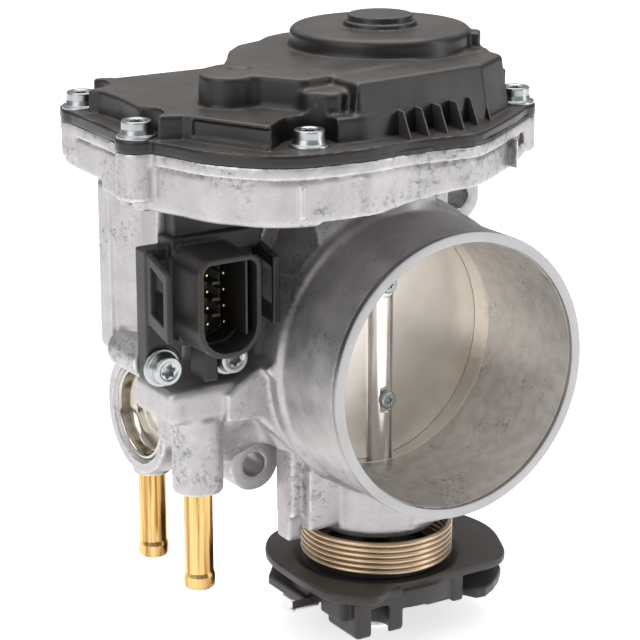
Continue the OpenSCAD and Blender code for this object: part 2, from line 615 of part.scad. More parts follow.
module connector_pins() {
  color([0.85, 0.65, 0.25]) for (x = [-1, 1], k = [0 : 3])
    block(conn_x + x * 2.5 - 0.35, conn_x + x * 2.5 + 0.35, plate_y - 9, plate_back - 0.5,
      conn_z - 6.6 + 4.4 * k - 0.35, conn_z - 6.6 + 4.4 * k + 0.35);
}
module connector_screws() {
  color([0.75, 0.75, 0.76]) for (sx = [-1, 1]) translate([conn_mid + sx * conn_screw_x, plate_y + 0.58, conn_screw_z])
    rotate([90, 0, 0]) flange_screw(4, 5.3, 2, 14);
}

// ---- coolant ----
module core_plug() {
  color([0.8, 0.79, 0.77]) translate([-66 + 1.6, cool_y, -cool_z]) rotate([0, 90, 0]) difference() {
    cylinder(r = plug_boss_d / 2 - 4.2 - 0.02, h = 5.2);
    translate([0, 0, -1]) cylinder(r = plug_boss_d / 2 - 5.4, h = 5);
  }
}
module nipple(h) {
  difference() {
    union() {
      cylinder(r = nipple_d / 2, h = h);
      translate([0, 0, 0.8]) cylinder(r = nipple_d / 2 + 0.4, h = 3);
      translate([0, 0, 3.8]) cylinder(r1 = nipple_d / 2 + 0.4, r2 = nipple_d / 2, h = 1.6);
      cylinder(r1 = nipple_d / 2 - 0.2, r2 = nipple_d / 2 + 0.4, h = 0.8);
    }
    translate([0, 0, -1]) cylinder(r = nipple_d / 2 - 1.1, h = h + 2);
  }
}
module hose_nipples() {
  color([0.83, 0.66, 0.32]) {
    translate([-59, 26.1, -nipple_low]) nipple(nipple_low - 31);
    translate([-59.2, -1.2, -nipple_low]) nipple(nipple_low - 23);
  }
}

at_shaft() {
throttle_housing();
gear_cover();
cover_gasket();
cover_screws();
throttle_shaft();
throttle_plate();
plate_screws();
upper_bearing();
lower_bearing();
shaft_seal();
throttle_lever();
wiper_arm();
shaft_nut();
cable_quadrant();
quadrant_insert();
quadrant_nut();
return_spring();
gear_sector();
intermediate_gear();
gear_pin();
idle_motor();
motor_pinion();
motor_clamp();
motor_screws();
sensor_board();
sensor_screws();
connector_housing();
connector_pins();
connector_screws();
core_plug();
hose_nipples();
}
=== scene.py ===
import math
import bpy
import numpy as np
import openvdb
from mathutils import Matrix, Vector


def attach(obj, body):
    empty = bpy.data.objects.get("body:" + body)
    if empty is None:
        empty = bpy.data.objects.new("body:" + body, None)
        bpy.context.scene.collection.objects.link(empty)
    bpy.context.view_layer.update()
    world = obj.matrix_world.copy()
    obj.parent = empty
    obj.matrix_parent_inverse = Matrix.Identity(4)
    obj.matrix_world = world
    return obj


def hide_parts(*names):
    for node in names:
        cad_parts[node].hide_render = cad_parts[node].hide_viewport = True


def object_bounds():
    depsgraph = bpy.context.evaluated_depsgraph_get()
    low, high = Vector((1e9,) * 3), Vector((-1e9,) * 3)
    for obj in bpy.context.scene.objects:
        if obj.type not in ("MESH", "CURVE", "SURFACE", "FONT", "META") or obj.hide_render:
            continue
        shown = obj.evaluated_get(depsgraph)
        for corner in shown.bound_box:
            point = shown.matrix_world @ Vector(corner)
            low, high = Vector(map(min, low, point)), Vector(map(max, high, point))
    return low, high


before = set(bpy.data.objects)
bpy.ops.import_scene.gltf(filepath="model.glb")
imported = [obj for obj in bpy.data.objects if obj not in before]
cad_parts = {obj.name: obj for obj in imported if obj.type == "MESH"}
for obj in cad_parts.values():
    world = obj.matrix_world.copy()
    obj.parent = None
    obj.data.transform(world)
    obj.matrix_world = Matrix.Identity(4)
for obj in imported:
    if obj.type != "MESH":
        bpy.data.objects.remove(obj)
cad_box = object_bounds()

# Shapes are drawn in millimetres about the crossing of the throttle shaft and the bore,
# then moved back by shaft_to_face, so that the origin is on the manifold face.
shaft_to_face = 24.0
MM = 0.001


# ---- solids as distance fields ----
def rim(q, w):
    """Distance to a solid whose side is q away and whose end is w away."""
    return np.minimum(np.maximum(q, w), 0) + np.hypot(np.maximum(q, 0), np.maximum(w, 0))


def blended(a, b, k):
    """The nearer of two surfaces, with a fillet of about k where they meet."""
    if k <= 0:
        return np.minimum(a, b)
    h = np.maximum(k - np.abs(a - b), 0) / k
    return np.minimum(a, b) - h * h * k * 0.25


def bar(axis, a, b, r, at=(0, 0), r_end=None, edge=0.5):
    """Round bar or cone along an axis from a to b."""
    i = "xyz".index(axis)
    j, k = [n for n in range(3) if n != i]
    r_end = r if r_end is None else r_end

    def dist(p):
        t = np.clip((p[i] - a) / (b - a), 0, 1)
        q = np.hypot(p[j] - at[0], p[k] - at[1]) - (r + (r_end - r) * t) + edge
        return rim(q, np.abs(p[i] - (a + b) / 2) - (b - a) / 2 + edge) - edge

    reach = max(r, r_end)
    box = [None] * 3
    box[i], box[j], box[k] = (a, b), (at[0] - reach, at[0] + reach), (at[1] - reach, at[1] + reach)
    return dist, box


def block(x, y, z, edge=0.5):
    """Box between the given limits, with rounded edges."""
    box = [x, y, z]

    def dist(p):
        q = [np.abs(p[n] - sum(box[n]) / 2) - (box[n][1] - box[n][0]) / 2 + edge for n in range(3)]
        out = np.sqrt(sum(np.maximum(c, 0) ** 2 for c in q))
        return out + np.minimum(np.maximum(np.maximum(q[0], q[1]), q[2]), 0) - edge

    return dist, box


def outline_distance(u, v, pts):
    """Distance to a closed outline, negative inside it."""
    best = np.full(np.broadcast(u, v).shape, 1e9)
    sign = np.ones(best.shape)
    for n in range(len(pts)):
        a, b = pts[n], pts[n - 1]
        e = (b[0] - a[0], b[1] - a[1])
        wu, wv = u - a[0], v - a[1]
        t = np.clip((wu * e[0] + wv * e[1]) / (e[0] ** 2 + e[1] ** 2 + 1e-9), 0, 1)
        best = np.minimum(best, (wu - e[0] * t) ** 2 + (wv - e[1] * t) ** 2)
        c1, c2, c3 = v >= a[1], v < b[1], e[0] * wv > e[1] * wu
        flip = (c1 & c2 & c3) | (~c1 & ~c2 & ~c3)
        sign = np.where(flip, -sign, sign)
    return sign * np.sqrt(best)


def eased(pts, times=2):
    """A closed outline with its corners cut round."""
    for _ in range(times):
        out = []
        for n, p in enumerate(pts):
            q = pts[(n + 1) % len(pts)]
            out.append((p[0] * 0.75 + q[0] * 0.25, p[1] * 0.75 + q[1] * 0.25))
            out.append((p[0] * 0.25 + q[0] * 0.75, p[1] * 0.25 + q[1] * 0.75))
        pts = out
    return pts


def sheet(axis, pts, a, b, grow=0.0, edge=0.5, lean=0.0):
    """Outline swept along an axis from a to b; lean narrows it by that much per millimetre."""
    i = "xyz".index(axis)
    j, k = [n for n in range(3) if n != i]

    def dist(p):
        q = outline_distance(p[j], p[k], pts) - grow + lean * (p[i] - a) + edge
        return rim(q, np.abs(p[i] - (a + b) / 2) - (b - a) / 2 + edge) - edge

    more = grow + max(0.0, -lean * (b - a))
    box = [None] * 3
    box[i] = (a, b)
    box[j] = (min(p[0] for p in pts) - more, max(p[0] for p in pts) + more)
    box[k] = (min(p[1] for p in pts) - more, max(p[1] for p in pts) + more)
    return dist, box


def turned(solid, axis, degrees, about=(0, 0, 0)):
    """The same solid turned about a line parallel to an axis."""
    shape, box = solid
    i = "xyz".index(axis)
    j, k = (i + 1) % 3, (i + 2) % 3
    c, s = math.cos(math.radians(degrees)), math.sin(math.radians(degrees))

    def dist(p):
        q = list(p)
        u, v = p[j] - about[j], p[k] - about[k]
        q[j], q[k] = about[j] + c * u + s * v, about[k] - s * u + c * v
        return shape(q)

    us, vs = [], []
    for bj in box[j]:
        for bk in box[k]:
            u, v = bj - about[j], bk - about[k]
            us.append(about[j] + c * u - s * v)
            vs.append(about[k] + s * u + c * v)
    out = list(box)
    out[j], out[k] = (min(us), max(us)), (min(vs), max(vs))
    return dist, out


class Body:
    """A solid built up and cut away on a fine grid, and then skinned."""

    def __init__(self, lo, hi, step):
        self.step, self.lo = step, np.array(lo, float)
        count = np.ceil((np.array(hi, float) - self.lo) / step).astype(int) + 1
        self.lines = [self.lo[n] + step * np.arange(count[n]) for n in range(3)]
        self.d = np.full(tuple(count), 9.0, np.float32)

    def part(self, box, pad):
        cut = []
        for n in range(3):
            a = int((box[n][0] - pad - self.lo[n]) / self.step)
            b = int((box[n][1] + pad - self.lo[n]) / self.step) + 2
            cut.append(slice(max(a, 0), max(min(b, len(self.lines[n])), 1)))
        p = [self.lines[0][cut[0]][:, None, None], self.lines[1][cut[1]][None, :, None],
             self.lines[2][cut[2]][None, None, :]]
        return tuple(cut), p

    def add(self, solid, k=0.0):
        cut, p = self.part(solid[1], k + 3 * self.step)
        self.d[cut] = blended(self.d[cut], solid[0](p), k)

    def take(self, solid, k=0.0):
        cut, p = self.part(solid[1], k + 3 * self.step)
        self.d[cut] = -blended(-self.d[cut], solid[0](p), k)

    def skin(self, name, sharp=38):
        far = 3 * self.step
        grid = openvdb.FloatGrid(far)
        grid.copyFromArray(np.clip(self.d, -far, far))
        points, quads = grid.convertToQuads()
        points = np.asarray(points, float) * self.step + self.lo
        return mesh_piece(name, points, np.asarray(quads), sharp)


def to_row(points):
    """Points in millimetres about the shaft, as metres about the manifold face."""
    points = np.array(points, float) * MM
    points[:, 1] -= shaft_to_face * MM
    return points


def add_object(name, points, faces, smooth=True):
    """A new object in the scene from points in metres."""
    mesh = bpy.data.meshes.new(name)
    mesh.from_pydata(np.asarray(points).tolist(), [], faces)
    if smooth:
        mesh.polygons.foreach_set("use_smooth", np.ones(len(mesh.polygons), bool))
    mesh.update()
    piece = bpy.data.objects.new(name, mesh)
    bpy.context.scene.collection.objects.link(piece)
    return piece


def mesh_piece(name, points, faces, sharp=38):
    """A mesh object from points in millimetres about the shaft, facing outwards."""
    points, faces = to_row(points), np.asarray(faces)
    a, b, c = (points[faces[:, n]] for n in range(3))
    volume = np.einsum("ij,ij->i", a, np.cross(b, c)).sum()
    if faces.shape[1] == 4:
        volume += np.einsum("ij,ij->i", a, np.cross(c, points[faces[:, 3]])).sum()
    if volume < 0:
        faces = faces[:, ::-1]
    piece = add_object(name, points, faces.tolist())
    piece.data.set_sharp_from_angle(angle=math.radians(sharp))
    piece.data.update()
    return piece


def softened(profile, r=0.3, steps=3):
    """A closed profile with its corners rounded."""
    pts = [np.array(p, float) for p in profile]
    out = []
    for n, p in enumerate(pts):
        u, v = pts[n - 1] - p, pts[(n + 1) % len(pts)] - p
        lu, lv = np.linalg.norm(u), np.linalg.norm(v)
        t = min(r, 0.4 * lu, 0.4 * lv)
        a, b = p + u / lu * t, p + v / lv * t
        for m in range(steps + 1):
            s = m / steps
            out.append(a * (1 - s) ** 2 + p * 2 * s * (1 - s) + b * s * s)
    return out


def lathed(name, profile, axis="z", at=(0, 0), round_by=0.25, turns=160, sharp=38):
    """A closed profile of (radius, height) spun about an axis."""
    prof = softened(profile, round_by) if round_by else [np.array(p, float) for p in profile]
    i = "xyz".index(axis)
    j, k = [n for n in range(3) if n != i]
    m = len(prof)
    angle = np.arange(turns) * 2 * math.pi / turns
    points = np.zeros((turns, m, 3))
    for n, (r, h) in enumerate(prof):
        points[:, n, i] = h
        points[:, n, j] = at[0] + r * np.cos(angle)
        points[:, n, k] = at[1] + r * np.sin(angle)
    faces = [(t * m + n, t * m + (n + 1) % m, (t + 1) % turns * m + (n + 1) % m, (t + 1) % turns * m + n)
             for t in range(turns) for n in range(m)]
    return mesh_piece(name, points.reshape(-1, 3), faces, sharp)


def wire(name, path, r, sides=14):
    """Round wire along a path of points in millimetres, with closed ends."""
    path = np.array(path, float)
    along = np.gradient(path, axis=0)
    along /= np.linalg.norm(along, axis=1)[:, None]
    side = np.cross(along, (0, 0, 1.0))
    side /= np.linalg.norm(side, axis=1)[:, None]
    up = np.cross(side, along)
    rings, shrink = [], [0.55] + [1] * (len(path) - 2) + [0.55]
    for n in range(len(path)):
        a = np.arange(sides) * 2 * math.pi / sides
        rings.append(path[n] + r * shrink[n] * (np.cos(a)[:, None] * side[n] + np.sin(a)[:, None] * up[n]))
    points = np.concatenate(rings + [path[:1], path[-1:]])
    faces = [(n * sides + s, n * sides + (s + 1) % sides,
              (n + 1) * sides + (s + 1) % sides, (n + 1) * sides + s)
             for n in range(len(path) - 1) for s in range(sides)]
    last = len(path) * sides
    for s in range(sides):
        faces.append((last, (s + 1) % sides, s))
        faces.append((last + 1, last - sides + s, last - sides + (s + 1) % sides))
    return add_object(name, to_row(points), faces)


def joined(name, pieces):
    """Several objects as one."""
    with bpy.context.temp_override(active_object=pieces[0], selected_editable_objects=pieces):
        bpy.ops.object.join()
    pieces[0].name = name
    return pieces[0]


# ---- materials ----
def group(name, inputs, outputs):
    g = bpy.data.node_groups.new(name, "ShaderNodeTree")
    for label, kind, value in inputs:
        s = g.interface.new_socket(label, in_out="INPUT", socket_type=kind)
        s.default_value = value
    for label, kind in outputs:
        g.interface.new_socket(label, in_out="OUTPUT", socket_type=kind)
    return g, Nodes(g)


class Nodes:
    """Short way to place and wire nodes in a tree."""

    def __init__(self, tree):
        self.tree = tree

    def put(self, kind, out=0, **wires):
        node = self.tree.nodes.new("ShaderNode" + kind)
        for key, value in wires.items():
            if key.startswith("set_"):
                setattr(node, key[4:], value)
        for key, value in wires.items():
            if key.startswith("set_"):
                continue
            socket = node.inputs[int(key[1:])] if key[0] == "i" and key[1:].isdigit() else node.inputs[key]
            if isinstance(value, bpy.types.NodeSocket):
                self.tree.links.new(value, socket)
            else:
                socket.default_value = value
        return node.outputs[out]

    def math(self, how, a, b=0.0, clamp=False):
        return self.put("Math", set_operation=how, set_use_clamp=clamp, i0=a, i1=b)

    def mix(self, amount, a, b):
        node = self.tree.nodes.new("ShaderNodeMix")
        node.data_type = "RGBA"
        for n, value in ((0, amount), (6, a), (7, b)):
            if isinstance(value, bpy.types.NodeSocket):
                self.tree.links.new(value, node.inputs[n])
            else:
                node.inputs[n].default_value = value
        return node.outputs[2]

    def between(self, value, low, high, to_low=0.0, to_high=1.0):
        node = self.tree.nodes.new("ShaderNodeMapRange")
        node.interpolation_type = "SMOOTHSTEP"
        for n, v in enumerate((value, low, high, to_low, to_high)):
            if isinstance(v, bpy.types.NodeSocket):
                self.tree.links.new(v, node.inputs[n])
            else:
                node.inputs[n].default_value = v
        return node.outputs[0]

    def place(self):
        return self.put("TexCoord", 3)

    def noise(self, scale, detail=4.0, rough=0.6, stretch=None, warp=0.0):
        where = self.place()
        if stretch:
            where = self.put("Mapping", Vector=where, Scale=stretch)
        return self.put("TexNoise", Vector=where, Scale=scale, Detail=detail, Roughness=rough,
                        Distortion=warp)


FLOAT, COLOR, VECTOR = "NodeSocketFloat", "NodeSocketColor", "NodeSocketVector"


def make_cast_skin():
    """Mottled die-cast skin: dark graphite stains, pale rubbed spots and a fine orange-peel height."""
    g, n = group("cast_skin", [("Base", COLOR, (0.6, 0.6, 0.6, 1)), ("Stain", COLOR, (0.3, 0.3, 0.32, 1)),
                               ("Stain Amount", FLOAT, 0.6), ("Size", FLOAT, 1.0)],
                 [("Color", COLOR), ("Height", FLOAT), ("Rough", FLOAT)])
    gi = g.nodes.new("NodeGroupInput").outputs
    size = gi["Size"]
    cloud = n.noise(n.math("MULTIPLY", size, 55.0), 5.0, 0.62, warp=0.4)
    speck = n.noise(n.math("MULTIPLY", size, 620.0), 3.0, 0.7)
    fine = n.noise(n.math("MULTIPLY", size, 1500.0), 2.0, 0.6)
    soft = n.noise(n.math("MULTIPLY", size, 160.0), 3.0, 0.55)
    patch = n.between(cloud, 0.48, 0.66)
    dots = n.between(speck, 0.47, 0.66)
    stain = n.math("MULTIPLY", n.math("MULTIPLY", patch, dots), gi["Stain Amount"], True)
    shade = n.between(soft, 0.3, 0.7, 0.86, 1.08)
    tone = n.put("VectorMath", set_operation="SCALE", i0=gi["Base"], Scale=shade)
    color = n.mix(stain, tone, gi["Stain"])
    pale = n.math("MULTIPLY", n.between(fine, 0.6, 0.75), 0.35)
    color = n.mix(pale, color, (0.78, 0.77, 0.79, 1))
    height = n.math("ADD", n.math("MULTIPLY", fine, 0.5), n.math("MULTIPLY", speck, 0.7))
    rough = n.between(soft, 0.3, 0.7, -0.05, 0.07)
    out = g.nodes.new("NodeGroupOutput")
    for name, value in (("Color", color), ("Height", height), ("Rough", rough)):
        g.links.new(value, out.inputs[name])
    return g


def make_edge_wear():
    """Mask of outside edges, where handling has rubbed the surface bright."""
    g, n = group("edge_wear", [("Low", FLOAT, 0.51), ("High", FLOAT, 0.58), ("Breakup", FLOAT, 0.5)],
                 [("Mask", FLOAT)])
    gi = g.nodes.new("NodeGroupInput").outputs
    point = n.put("NewGeometry", 7)
    edge = n.between(point, gi["Low"], gi["High"])
    broken = n.between(n.noise(420.0, 3.0), 0.35, 0.6)
    mask = n.math("MULTIPLY", edge, n.math("MAXIMUM", broken, n.math("SUBTRACT", 1.0, gi["Breakup"])), True)
    out = g.nodes.new("NodeGroupOutput")
    g.links.new(mask, out.inputs["Mask"])
    return g


def make_fine_marks():
    """Turning or brushing marks: a height and a small change in gloss, stretched by the given scale."""
    g, n = group("fine_marks", [("Stretch", VECTOR, (1, 1, 1)), ("Scale", FLOAT, 900.0)],
                 [("Height", FLOAT), ("Cloud", FLOAT)])
    gi = g.nodes.new("NodeGroupInput").outputs
    where = n.put("Mapping", Vector=n.place(), Scale=gi["Stretch"])
    lines = n.put("TexNoise", Vector=where, Scale=gi["Scale"], Detail=3.0, Roughness=0.6)
    cloud = n.noise(70.0, 4.0, 0.6)
    out = g.nodes.new("NodeGroupOutput")
    g.links.new(lines, out.inputs["Height"])
    g.links.new(cloud, out.inputs["Cloud"])
    return g


def make_moulded_grain():
    """Fine spark texture of moulded plastic, with faint rubbed places and a dust colour on upward faces that
    is part real dust and part painted top light.
    """
    g, n = group("moulded_grain",
                 [("Base", COLOR, (0.02, 0.02, 0.02, 1)), ("Dust", COLOR, (0.1, 0.1, 0.1, 1)),
                  ("Dust Amount", FLOAT, 0.3), ("Grain", FLOAT, 2600.0)],
                 [("Color", COLOR), ("Height", FLOAT), ("Rough", FLOAT)])
    gi = g.nodes.new("NodeGroupInput").outputs
    grain = n.put("TexNoise", Vector=n.place(), Scale=gi["Grain"], Detail=2.0, Roughness=0.7)
    cloud = n.noise(60.0, 4.0, 0.6)
    up = n.put("SeparateXYZ", 2, i0=n.put("NewGeometry", 1))
    # Faces that look up take the dust colour: part dust, part painted top light that makes the tops lighter
    # than the walls.
    dust_and_top_light = n.math("MULTIPLY", n.between(up, 0.3, 0.98), n.between(cloud, 0.25, 0.75, 0.55, 1.0))
    amount = n.math("MULTIPLY", dust_and_top_light, gi["Dust Amount"], True)
    color = n.mix(amount, gi["Base"], gi["Dust"])
    out = g.nodes.new("NodeGroupOutput")
    g.links.new(color, out.inputs["Color"])
    g.links.new(grain, out.inputs["Height"])
    g.links.new(n.between(cloud, 0.3, 0.7, -0.05, 0.06), out.inputs["Rough"])
    return g


cast_skin = make_cast_skin()
edge_wear = make_edge_wear()
fine_marks = make_fine_marks()
moulded_grain = make_moulded_grain()


def finish(name):
    """A new material: its node helper, shader and a way to place a group in it."""
    mat = bpy.data.materials.new(name)
    mat.use_nodes = True
    return mat, Nodes(mat.node_tree), mat.node_tree.nodes["Principled BSDF"]


def use(n, g, **values):
    node = n.tree.nodes.new("ShaderNodeGroup")
    node.node_tree = g
    for key, value in values.items():
        socket = node.inputs[key.replace("_", " ")]
        if isinstance(value, bpy.types.NodeSocket):
            n.tree.links.new(value, socket)
        else:
            socket.default_value = value
    return node.outputs


def bump(n, shader, height, distance, strength=1.0):
    relief = n.put("Bump", Strength=strength, Distance=distance, Height=height)
    n.tree.links.new(relief, shader.inputs["Normal"])


def cast_finish(name, base, stain, amount, rough, metal=0.85, size=1.0, depth=0.00006, wear=0.55):
    mat, n, s = finish(name)
    skin = use(n, cast_skin, Base=base, Stain=stain, Stain_Amount=amount, Size=size)
    edge = use(n, edge_wear, Low=0.515, High=0.56, Breakup=0.6)["Mask"]
    n.tree.links.new(n.mix(n.math("MULTIPLY", edge, wear), skin["Color"], (0.88, 0.87, 0.88, 1)),
                     s.inputs["Base Color"])
    n.tree.links.new(n.math("SUBTRACT", n.math("ADD", skin["Rough"], rough), n.math("MULTIPLY", edge, 0.12)),
                     s.inputs["Roughness"])
    s.inputs["Metallic"].default_value = metal
    bump(n, s, skin["Height"], depth, 0.8)
    return mat


def metal_finish(name, color, dark, rough, stretch=(1, 1, 1), scale=900.0, depth=0.00001, spread=0.5,
                 painted_reflection_streaks=False):
    mat, n, s = finish(name)
    marks = use(n, fine_marks, Stretch=stretch, Scale=scale)
    # When set, the colour follows the stretched marks: on the brass these vertical light and dark streaks are
    # painted reflections.
    tint = marks["Height"] if painted_reflection_streaks else marks["Cloud"]
    n.tree.links.new(n.mix(n.between(tint, 0.35, 0.75, 0.0, spread), color, dark),
                     s.inputs["Base Color"])
    gloss = n.math("ADD", n.math("MULTIPLY", marks["Cloud"], 0.16), rough - 0.08)
    n.tree.links.new(gloss, s.inputs["Roughness"])
    s.inputs["Metallic"].default_value = 1.0
    bump(n, s, marks["Height"], depth, 0.6)
    return mat


def plastic_finish(name, base, dust_and_top_light_color, amount, rough, grain=2600.0, depth=0.00002, rubbed=(0.2, 0.19, 0.19, 1)):
    mat, n, s = finish(name)
    # The dust colour goes on upward faces, where it is part dust and part painted top light.
    skin = use(n, moulded_grain, Base=base, Dust=dust_and_top_light_color, Dust_Amount=amount, Grain=grain)
    edge = use(n, edge_wear, Low=0.52, High=0.6, Breakup=0.8)["Mask"]
    n.tree.links.new(n.mix(n.math("MULTIPLY", edge, 0.25), skin["Color"], rubbed), s.inputs["Base Color"])
    n.tree.links.new(n.math("ADD", skin["Rough"], rough), s.inputs["Roughness"])
    bump(n, s, skin["Height"], depth, 0.7)
    return mat


cast_aluminium = cast_finish("cast_aluminium", (0.46, 0.446, 0.458, 1), (0.19, 0.19, 0.215, 1), 0.95, 0.42,
                             metal=0.7)
rough_cast = cast_finish("rough_cast_funnel", (0.7, 0.68, 0.67, 1), (0.3, 0.29, 0.29, 1), 0.95, 0.38,
                         metal=0.85, size=1.6, depth=0.00009, wear=0.1)
machined = metal_finish("machined_face", (0.74, 0.72, 0.73, 1), (0.6, 0.59, 0.61, 1), 0.36, scale=1400.0)
mouth_rim = metal_finish("mouth_rim", (0.4, 0.395, 0.4, 1), (0.34, 0.335, 0.34, 1), 0.42, scale=1400.0)
satin_bore = metal_finish("satin_bore", (0.78, 0.75, 0.71, 1), (0.66, 0.6, 0.54, 1), 0.26,
                          (0.05, 4, 0.05), 900.0)
plate_metal = metal_finish("plate_metal", (0.74, 0.7, 0.64, 1), (0.6, 0.54, 0.46, 1), 0.33, scale=1200.0)
turned_steel = metal_finish("turned_steel", (0.72, 0.69, 0.65, 1), (0.5, 0.45, 0.4, 1), 0.2,
                            (1, 1, 0.05), 1500.0)
polished_plug = metal_finish("polished_plug", (0.52, 0.49, 0.44, 1), (0.26, 0.22, 0.18, 1), 0.14,
                             scale=500.0, spread=0.9)
zinc_steel = metal_finish("zinc_steel", (0.44, 0.465, 0.475, 1), (0.28, 0.305, 0.32, 1), 0.3,
                          scale=1900.0, depth=0.00002)
bearing_steel = metal_finish("bearing_steel", (0.6, 0.6, 0.6, 1), (0.45, 0.45, 0.46, 1), 0.22)
lever_steel = metal_finish("lever_steel", (0.62, 0.58, 0.48, 1), (0.45, 0.42, 0.36, 1), 0.32)
motor_steel = metal_finish("motor_steel", (0.5, 0.5, 0.52, 1), (0.36, 0.36, 0.38, 1), 0.34,
                           (1, 1, 0.1), 800.0)
spring_wire = metal_finish("spring_wire", (0.55, 0.43, 0.3, 1), (0.36, 0.26, 0.17, 1), 0.33, scale=1800.0)
# Brass: the vertical light and dark streaks in its colour are painted reflections along the nipples.
brass = metal_finish("brass", (0.74, 0.5, 0.21, 1), (0.26, 0.12, 0.03, 1), 0.19,
                     (1, 1, 0.03), 750.0, spread=1.0, painted_reflection_streaks=True)
contact_gold = metal_finish("contact_gold", (0.9, 0.62, 0.22, 1), (0.7, 0.45, 0.15, 1), 0.22, scale=2200.0)
# On the cover the pale dust colour on upward faces is mostly painted top light, making the tops lighter than
# the dark walls.
cover_plastic = plastic_finish("cover_plastic", (0.007, 0.0068, 0.0075, 1), (0.15, 0.134, 0.125, 1),
                               0.62, 0.36)
# The fins get a lighter copy of the cover plastic: a painted highlight along the thin blades.
fin_plastic_painted_highlight = plastic_finish("fin_plastic_painted_highlight", (0.04, 0.038, 0.037, 1), (0.3, 0.28, 0.27, 1), 0.9, 0.32)
connector_plastic = plastic_finish("connector_plastic", (0.012, 0.0108, 0.01, 1), (0.05, 0.044, 0.04, 1),
                                   0.5, 0.43)
quadrant_plastic = plastic_finish("quadrant_plastic", (0.026, 0.023, 0.0222, 1), (0.07, 0.062, 0.058, 1),
                                  0.5, 0.44)
rubber = plastic_finish("rubber", (0.02, 0.02, 0.02, 1), (0.05, 0.05, 0.05, 1), 0.3, 0.75, 1200.0)
gear_plastic = plastic_finish("gear_plastic", (0.74, 0.7, 0.58, 1), (0.82, 0.8, 0.7, 1), 0.4, 0.42,
                              rubbed=(0.85, 0.82, 0.7, 1))
circuit_board = plastic_finish("circuit_board", (0.02, 0.12, 0.05, 1), (0.06, 0.2, 0.1, 1), 0.4, 0.38,
                               rubbed=(0.3, 0.4, 0.3, 1))


def dress(piece, material, slot, body="housing", *nodes):
    piece.data.materials.clear()
    piece.data.materials.append(material)
    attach(piece, body)
    if nodes:
        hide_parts(*nodes)
    return piece


# ---- measures shared by the pieces, as in the solids ----
rim_z, tray_low, tray_floor = 65.4, 49.8, 52.8
screw_places = [(-79, -8), (-47.5, -40.5), (-74.5, 32.5), (28.5, -23.5), (22, 31)]
tray_edge = [(-76.3, 36.8), (-73.4, 36.8), (-10, 36.4), (22, 34.2), (33, 22), (33, -12), (32.4, -20.4),
             (29.2, -24.6), (20.4, -31.8), (11.3, -38), (2.2, -44.1), (-2.6, -46.8), (-7, -46.8),
             (-18.2, -45.4), (-24.8, -45.4), (-32.3, -46.9), (-41.5, -46.7), (-51.8, -45.4), (-55.8, -43.9),
             (-59.5, -41.7), (-62.9, -38.7), (-65.8, -35), (-68.7, -31), (-71, -25.8), (-73, -18.6),
             (-75.4, -13), (-77.2, -2), (-76.7, 12)]
tray_edge = eased(tray_edge, 1)
half_bolt = 34.5
motor_at = (-57.5, 19)
plug_at = (21.6, -16.8)
rear_nipple_at, front_nipple_at = (-59, 26.1), (-59.2, -1.2)
socket_screws, socket_screw_z = (-73.1, -53.1), 6.2
quadrant_top = 64.3


def raised_floor(p):
    """How far a place lies under the higher tray floor at the front right and the right end."""
    top = np.interp(p[0], [-31, -20, -11, -4], [52.2, 54.3, 56, 56.4]) - p[2]
    return np.where((p[1] < -17.1) | (p[0] > 16.6), top, -9.0)


